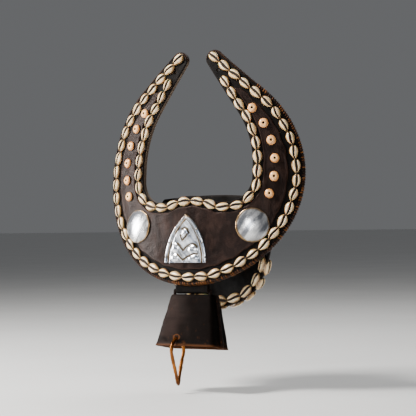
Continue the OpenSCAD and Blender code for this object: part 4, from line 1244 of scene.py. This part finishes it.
def apron_sheet():
    """The bulged bib behind the collar, and a flap on each side that is tied to the collar's back."""
    reach = apron_reach() + APRON_LAP
    wing = np.linspace(-reach, APRON_X - APRON_EDGE_R, 14)[:-1]
    bib = np.linspace(-QUARTER, math.asin((reach - APRON_X) / APRON_EDGE_R), 140)
    x = np.concatenate([wing, APRON_X + APRON_EDGE_R * np.sin(bib)])[:, None]
    round_half = np.sqrt(np.maximum(APRON_EDGE_R ** 2 - (x - APRON_X) ** 2, 0))
    low = np.minimum(APRON_Z - round_half, FLAP_LOW)
    high = APRON_TOP - APRON_TOP_R + np.sqrt(APRON_TOP_R ** 2 - x ** 2)
    high = np.minimum(high, np.maximum(APRON_Z + round_half, FLAP_LOW + FLAP_H))
    along, away, round_off = across_sheet(high - low, APRON_STEPS, APRON_ROUND, 46)
    z = low + along
    flat = points_of(x, z)
    sag = (0.5 * waves(flat, 60.0, 71) + 0.2 * waves(flat, 17.0, 72)) * part(reach - np.abs(x), 0, 30)
    levels = (APRON_R - round_off + sag, APRON_R - APRON_T + round_off + sag)
    sides = [lean_back(points_of(x, APRON_CY + np.sqrt(r ** 2 - x ** 2), z)) for r in levels]
    wear = hump(away, 0, 2.5)
    shape = Shape()
    shape.add(*solid(folded(*sides)), folded(wear, wear))
    up = np.linspace(FLAP_LOW, FLAP_LOW + FLAP_H, 30)
    for side in (-1, 1):
        inner = ruffle(points_of(side * (FLAP_MID - FLAP_W / 2), up), 0.4, 20.0, 73)
        outer = ruffle(points_of(side * (FLAP_MID + FLAP_W / 2), up), 0.4, 20.0, 74)
        shape.add(*skin(inner, outer, -FLAP_AT - APRON_T, -FLAP_AT, 75, 0.3, 1.3, middle=10))
    shape.make("chest_apron_hide", BLACK_LEATHER, "chest_apron")


STRAP_RISE = 16.0
STRAP_FLAT = 18.0
FOLD_SHORT = 4.0
STRAP_EDGE = 1.0
STRAP_WORN = 2.5


def hanger():
    """A strap down the collar's back, round the bell's bar and up again behind itself, with slim edges."""
    strap_y = BEND_R - math.sqrt((BEND_R - BACK_AT) ** 2 - (STRAP_W / 2) ** 2) + RIM_LAP + GLUE
    front_y = strap_y + STRAP_T / 2
    rear_y = front_y + STRAP_T + GLUE
    bar_y = strap_y + STRAP_T + BAR_FIT + BAR_R
    bar_z = RIM_LOW - BAR_FALL
    top = RIM_LOW + STRAP_UP
    turn_r = BAR_R + BAR_FIT + STRAP_T / 2
    front = np.linspace((front_y, top), (front_y, bar_z), 26)
    under = arc(bar_y, bar_z, turn_r, math.pi + 0.2, TAU - 0.2, 11)
    slant = np.linspace((bar_y + turn_r + 0.3, bar_z), (rear_y, bar_z + STRAP_RISE), 9)
    rear = np.linspace((rear_y, bar_z + STRAP_FLAT), (rear_y, top - FOLD_SHORT), 20)
    path = np.concatenate([front, under, slant, rear])
    out = headings(path)[1]
    shares = np.concatenate([[-0.5, -0.49, -0.47], np.linspace(-0.43, 0.43, 15), [0.47, 0.49, 0.5]])
    across = shares * STRAP_W
    slim = part(STRAP_W / 2 - np.abs(across), 0, STRAP_EDGE)
    half = STRAP_T / 2 * (0.45 + 0.55 * np.sqrt(1 - (1 - slim) ** 2))
    sides = [points_of(across, *(path.T[..., None] + out.T[..., None] * lift)) for lift in (half, -half)]
    points, faces = solid(folded(*sides))
    points[:, 0] *= 1 + 0.012 * waves(points[:, 2:], 22.0, 81)
    wear = part(np.abs(points[:, 0]), STRAP_W / 2 - STRAP_WORN, STRAP_WORN)
    piece("hanger_strap_hide", BLACK_LEATHER, "hanger_strap", lean_back(points), faces, wear)


# Bell

BELL_CREASE = math.radians(50)
HOLE_REACH = 12.0
HOLE_SIDES = 28
# Rings over the crown, round the lip and under the crown: share of the height, distance drawn in, and drop
CROWN_RINGS = ((0.0, 9.0, -0.3), (0.0, 5.0, -0.15), (0.0, 2.6, 0.2), (0.006, 1.1, 0.3), (0.02, 0.3, 0.3))
LIP_RINGS = ((1.0, 0.5, 0.55), (1.0, 1.4, 0.75), (1.0, 2.2, 0.4))
ROOF_RINGS = ((0.03, 4.0, 0.6), (0.026, 9.0, 0.7))
# Section of a seam: distance out of the bell's side, and along its depth
SEAM = np.array([(-1.5, -2.1), (2.0, -2.15), (4.0, -2.0), (4.75, -1.2), (4.6, -0.15), (4.75, 1.2),
                 (4.0, 2.0), (2.0, 2.15), (-1.5, 2.1)])
SEAM_ROWS = 30
RIVET_IN = 10.0


def rounded_loop(a, b, r):
    """A rounded rectangle of half width a and half depth b, from its right side round by its rear."""
    corners = [arc(x * (a - r), y * (b - r), r, k * QUARTER, (k + 1) * QUARTER, 6)
               for k, (x, y) in enumerate(((1, 1), (-1, 1), (-1, -1), (1, -1)))]
    loop = []
    for corner, after, steps in zip(corners, corners[1:] + corners[:1], (16, 8, 16, 8)):
        loop += [corner, np.linspace(corner[-1], after[0], steps + 1)[1:-1]]
    return np.concatenate(loop)


def bell_ring(share, inset, drop=0.0):
    """One level of the bell's wall, from its crown to its lip, drawn in by a distance."""
    flare = 1.1 * max(0.0, (share - 0.9) / 0.1) ** 2
    swell = math.sin(math.pi * share)
    a = CROWN_HALF + WALL_RUN * share + 0.6 * swell - inset + flare
    b = CROWN[1] / 2 + (MOUTH[1] - CROWN[1]) / 2 * share - inset + flare
    x, y = rounded_loop(a, b, max(1.2, 4.5 + 2.5 * share - inset * 0.6)).T
    bow = (1.6 + 1.4 * swell) * (1 - (x / a) ** 2)
    y = y + np.sign(y) * part(np.abs(y), 0, b) ** 4 * bow
    ring = points_of(x, y + CROWN_BACK, CROWN_Z - BELL_H * share - drop)
    dent = 0.45 * waves(ring, 48.0, 91) + 0.16 * waves(ring, 15.0, 92)
    return ring + unit(points_of(x / a ** 2, y / b ** 2, 0)) * (dent * min(1.0, share * 4))[:, None]


def bell_seam(side):
    """Two plies of sheet, standing out as a flat seam on one side of the bell."""
    n, y = SEAM.T
    share = np.linspace(0, 1, SEAM_ROWS)[:, None]
    x = side * (CROWN_HALF + WALL_RUN * share + n + 0.25 * np.sin(23 * share))
    return solid(points_of(x, CROWN_BACK + y + 0.35 * np.sin(9 * share + side), CROWN_Z - BELL_H * share))


def bell():
    """The bell's sheet with its seams, rusted at the lip, with painted shade and a rougher finish toward the
    right.
    """
    shares = np.concatenate([np.linspace(0.055, 0.9, 22), [0.93, 0.96, 0.98, 1.0]])
    outer = [(s, 0.0) for s in shares]
    inner = [(s, BELL_T + 0.5 * max(0.0, (s - 0.93) / 0.07)) for s in shares[::-1]]
    rings = (*CROWN_RINGS, *outer, *LIP_RINGS, *inner, *ROOF_RINGS)
    points, faces = solid([bell_ring(*ring) for ring in rings])
    x, _, z = points.T
    down = np.clip((CROWN_Z - z) / BELL_H, 0, 1.02)
    rust = 0.62 * hump(down, 1.0, 0.03) + 0.22 * hump(down, 1.0, 0.16)
    rust += 0.06 * hump(x, HOLE_X + 6, 16) * hump(z, CROWN_Z - BELL_H + 8, 7)
    # Painted shade: darker and rougher toward the bell's right side.
    painted_shade = np.clip((x + 30) / 38 + 0.16 * waves(points, 26.0, 93), 0, 1)
    shape = Shape()
    shape.add(in_bell(points), faces, np.clip(rust, 0, 1), painted_shade)
    for side in (-1, 1):
        points, faces = bell_seam(side)
        down = part(-points[:, 2], -CROWN_Z, BELL_H)
        shape.add(in_bell(points), faces, 0.12 + 0.5 * hump(down, 1.0, 0.05))
    made = shape.make("bell_sheet", BELL_IRON, "bell_body", "bell")
    made.data.set_sharp_from_angle(angle=BELL_CREASE)
    cut(made, HOLE_R, HOLE_REACH, HOLE_SIDES, lambda p: p[:, [0, 2, 1]] + HOLE_AT)


def bell_rivets():
    points, faces = lathe(*RIVET_HEAD, HEAD_SIDES)
    shape = Shape()
    for side in (-1, 1):
        for drop in np.linspace(RIVET_IN, BELL_H - RIVET_IN, SEAM_RIVET_N):
            x = points[:, 0] + side * (CROWN_HALF + WALL_RUN / BELL_H * drop + SEAM_W / 2)
            for face in (-1, 1):
                y = CROWN_BACK + face * (BELL_T + points[:, 2] - 0.1)
                shape.add(in_bell(points_of(x, y, points[:, 1] + CROWN_Z - drop)), faces, hollow=0.3)
    shape.make("bell_rivet_heads", BELL_IRON, "bell_rivets", "bell")


WIRE_DROP = 1.6
WIRE_SIDES = 14
LEG_STEPS = 24


def loop():
    """Forged wire loop with a pointed end, uneven as hand work is."""
    turn = math.asin(LOOP_R / (LOOP_L - LOOP_R))
    bow = arc(0, 0, LOOP_R, -turn, math.pi + turn, 44)
    point = (0.0, LOOP_R - LOOP_L)
    legs = [np.linspace(bow[-1], point, LEG_STEPS)[1:], np.linspace(point, bow[0], LEG_STEPS)[1:-1]]
    path = np.concatenate([bow, *legs])
    near = hump(path[:, 1], point[1], 7)
    path[:, 1] += 1.2 * near * np.clip(1 - np.abs(path[:, 0]) / 6, 0, 1)
    lean = 0.35 * waves(path, 40.0, 95) * part(-path[:, 1], -12, 20)
    wire = points_of(lean, path[:, 0], path[:, 1] - WIRE_DROP - LOOP_R) + HOLE_AT
    thick = WIRE_R * (1 + 0.07 * waves(path, 19.0, 96) + 0.05 * waves(path, 7.0, 97) - 0.04) + 0.25 * near
    points, faces = tube(wire, thick, thick * 0.97, WIRE_SIDES, (1.0, 0.0, 0.0), looped=True)
    points += 0.12 * unit(points - np.repeat(wire, WIRE_SIDES, axis=0)) * waves(points, 4.5, 98)[:, None]
    dark = np.repeat(0.75 * hump(path[:, 1], point[1], 6), WIRE_SIDES)
    piece("bell_loop_wire", LOOP_IRON, "bell_loop", points, faces, dark, body="loop")


def dress(node, finish):
    """Gives a node of the frame that stays in view its finish."""
    slots = frame["nodes"][node].data.materials
    slots.clear()
    slots.append(finish[0])


# Floor, in metres

FLOOR_GAP = 0.012
FLOOR_FAR = 30.0


def add_floor():
    low = cad_box[0][2] - FLOOR_GAP
    corners = [(x * FLOOR_FAR, y * FLOOR_FAR, low) for x, y in ((-1, -1), (1, -1), (1, 1), (-1, 1))]
    mesh = bpy.data.meshes.new("floor")
    mesh.from_pydata(corners, [], [(0, 1, 2, 3)])
    mesh.materials.append(floor_material())
    floor = link("floor", mesh)


set_camera()
set_lights()
collar_layers()
panel_skin()
rim_strip()
rim_lacing()
collar_shells()
apron_shells()
studs(-1, "bone_studs_left", 51)
studs(1, "bone_studs_right", 52)
thongs()
disc(-1, "silver_disc_left", 55)
disc(1, "silver_disc_right", 58)
plaque()
plaque_trim()
apron_sheet()
hanger()
bell()
bell_rivets()
loop()
dress("disc_shanks", NAIL_METAL)
for iron in ("hanger_rivets", "bell_staple", "clapper_eye", "clapper"):
    dress(iron, BELL_IRON)
add_floor()
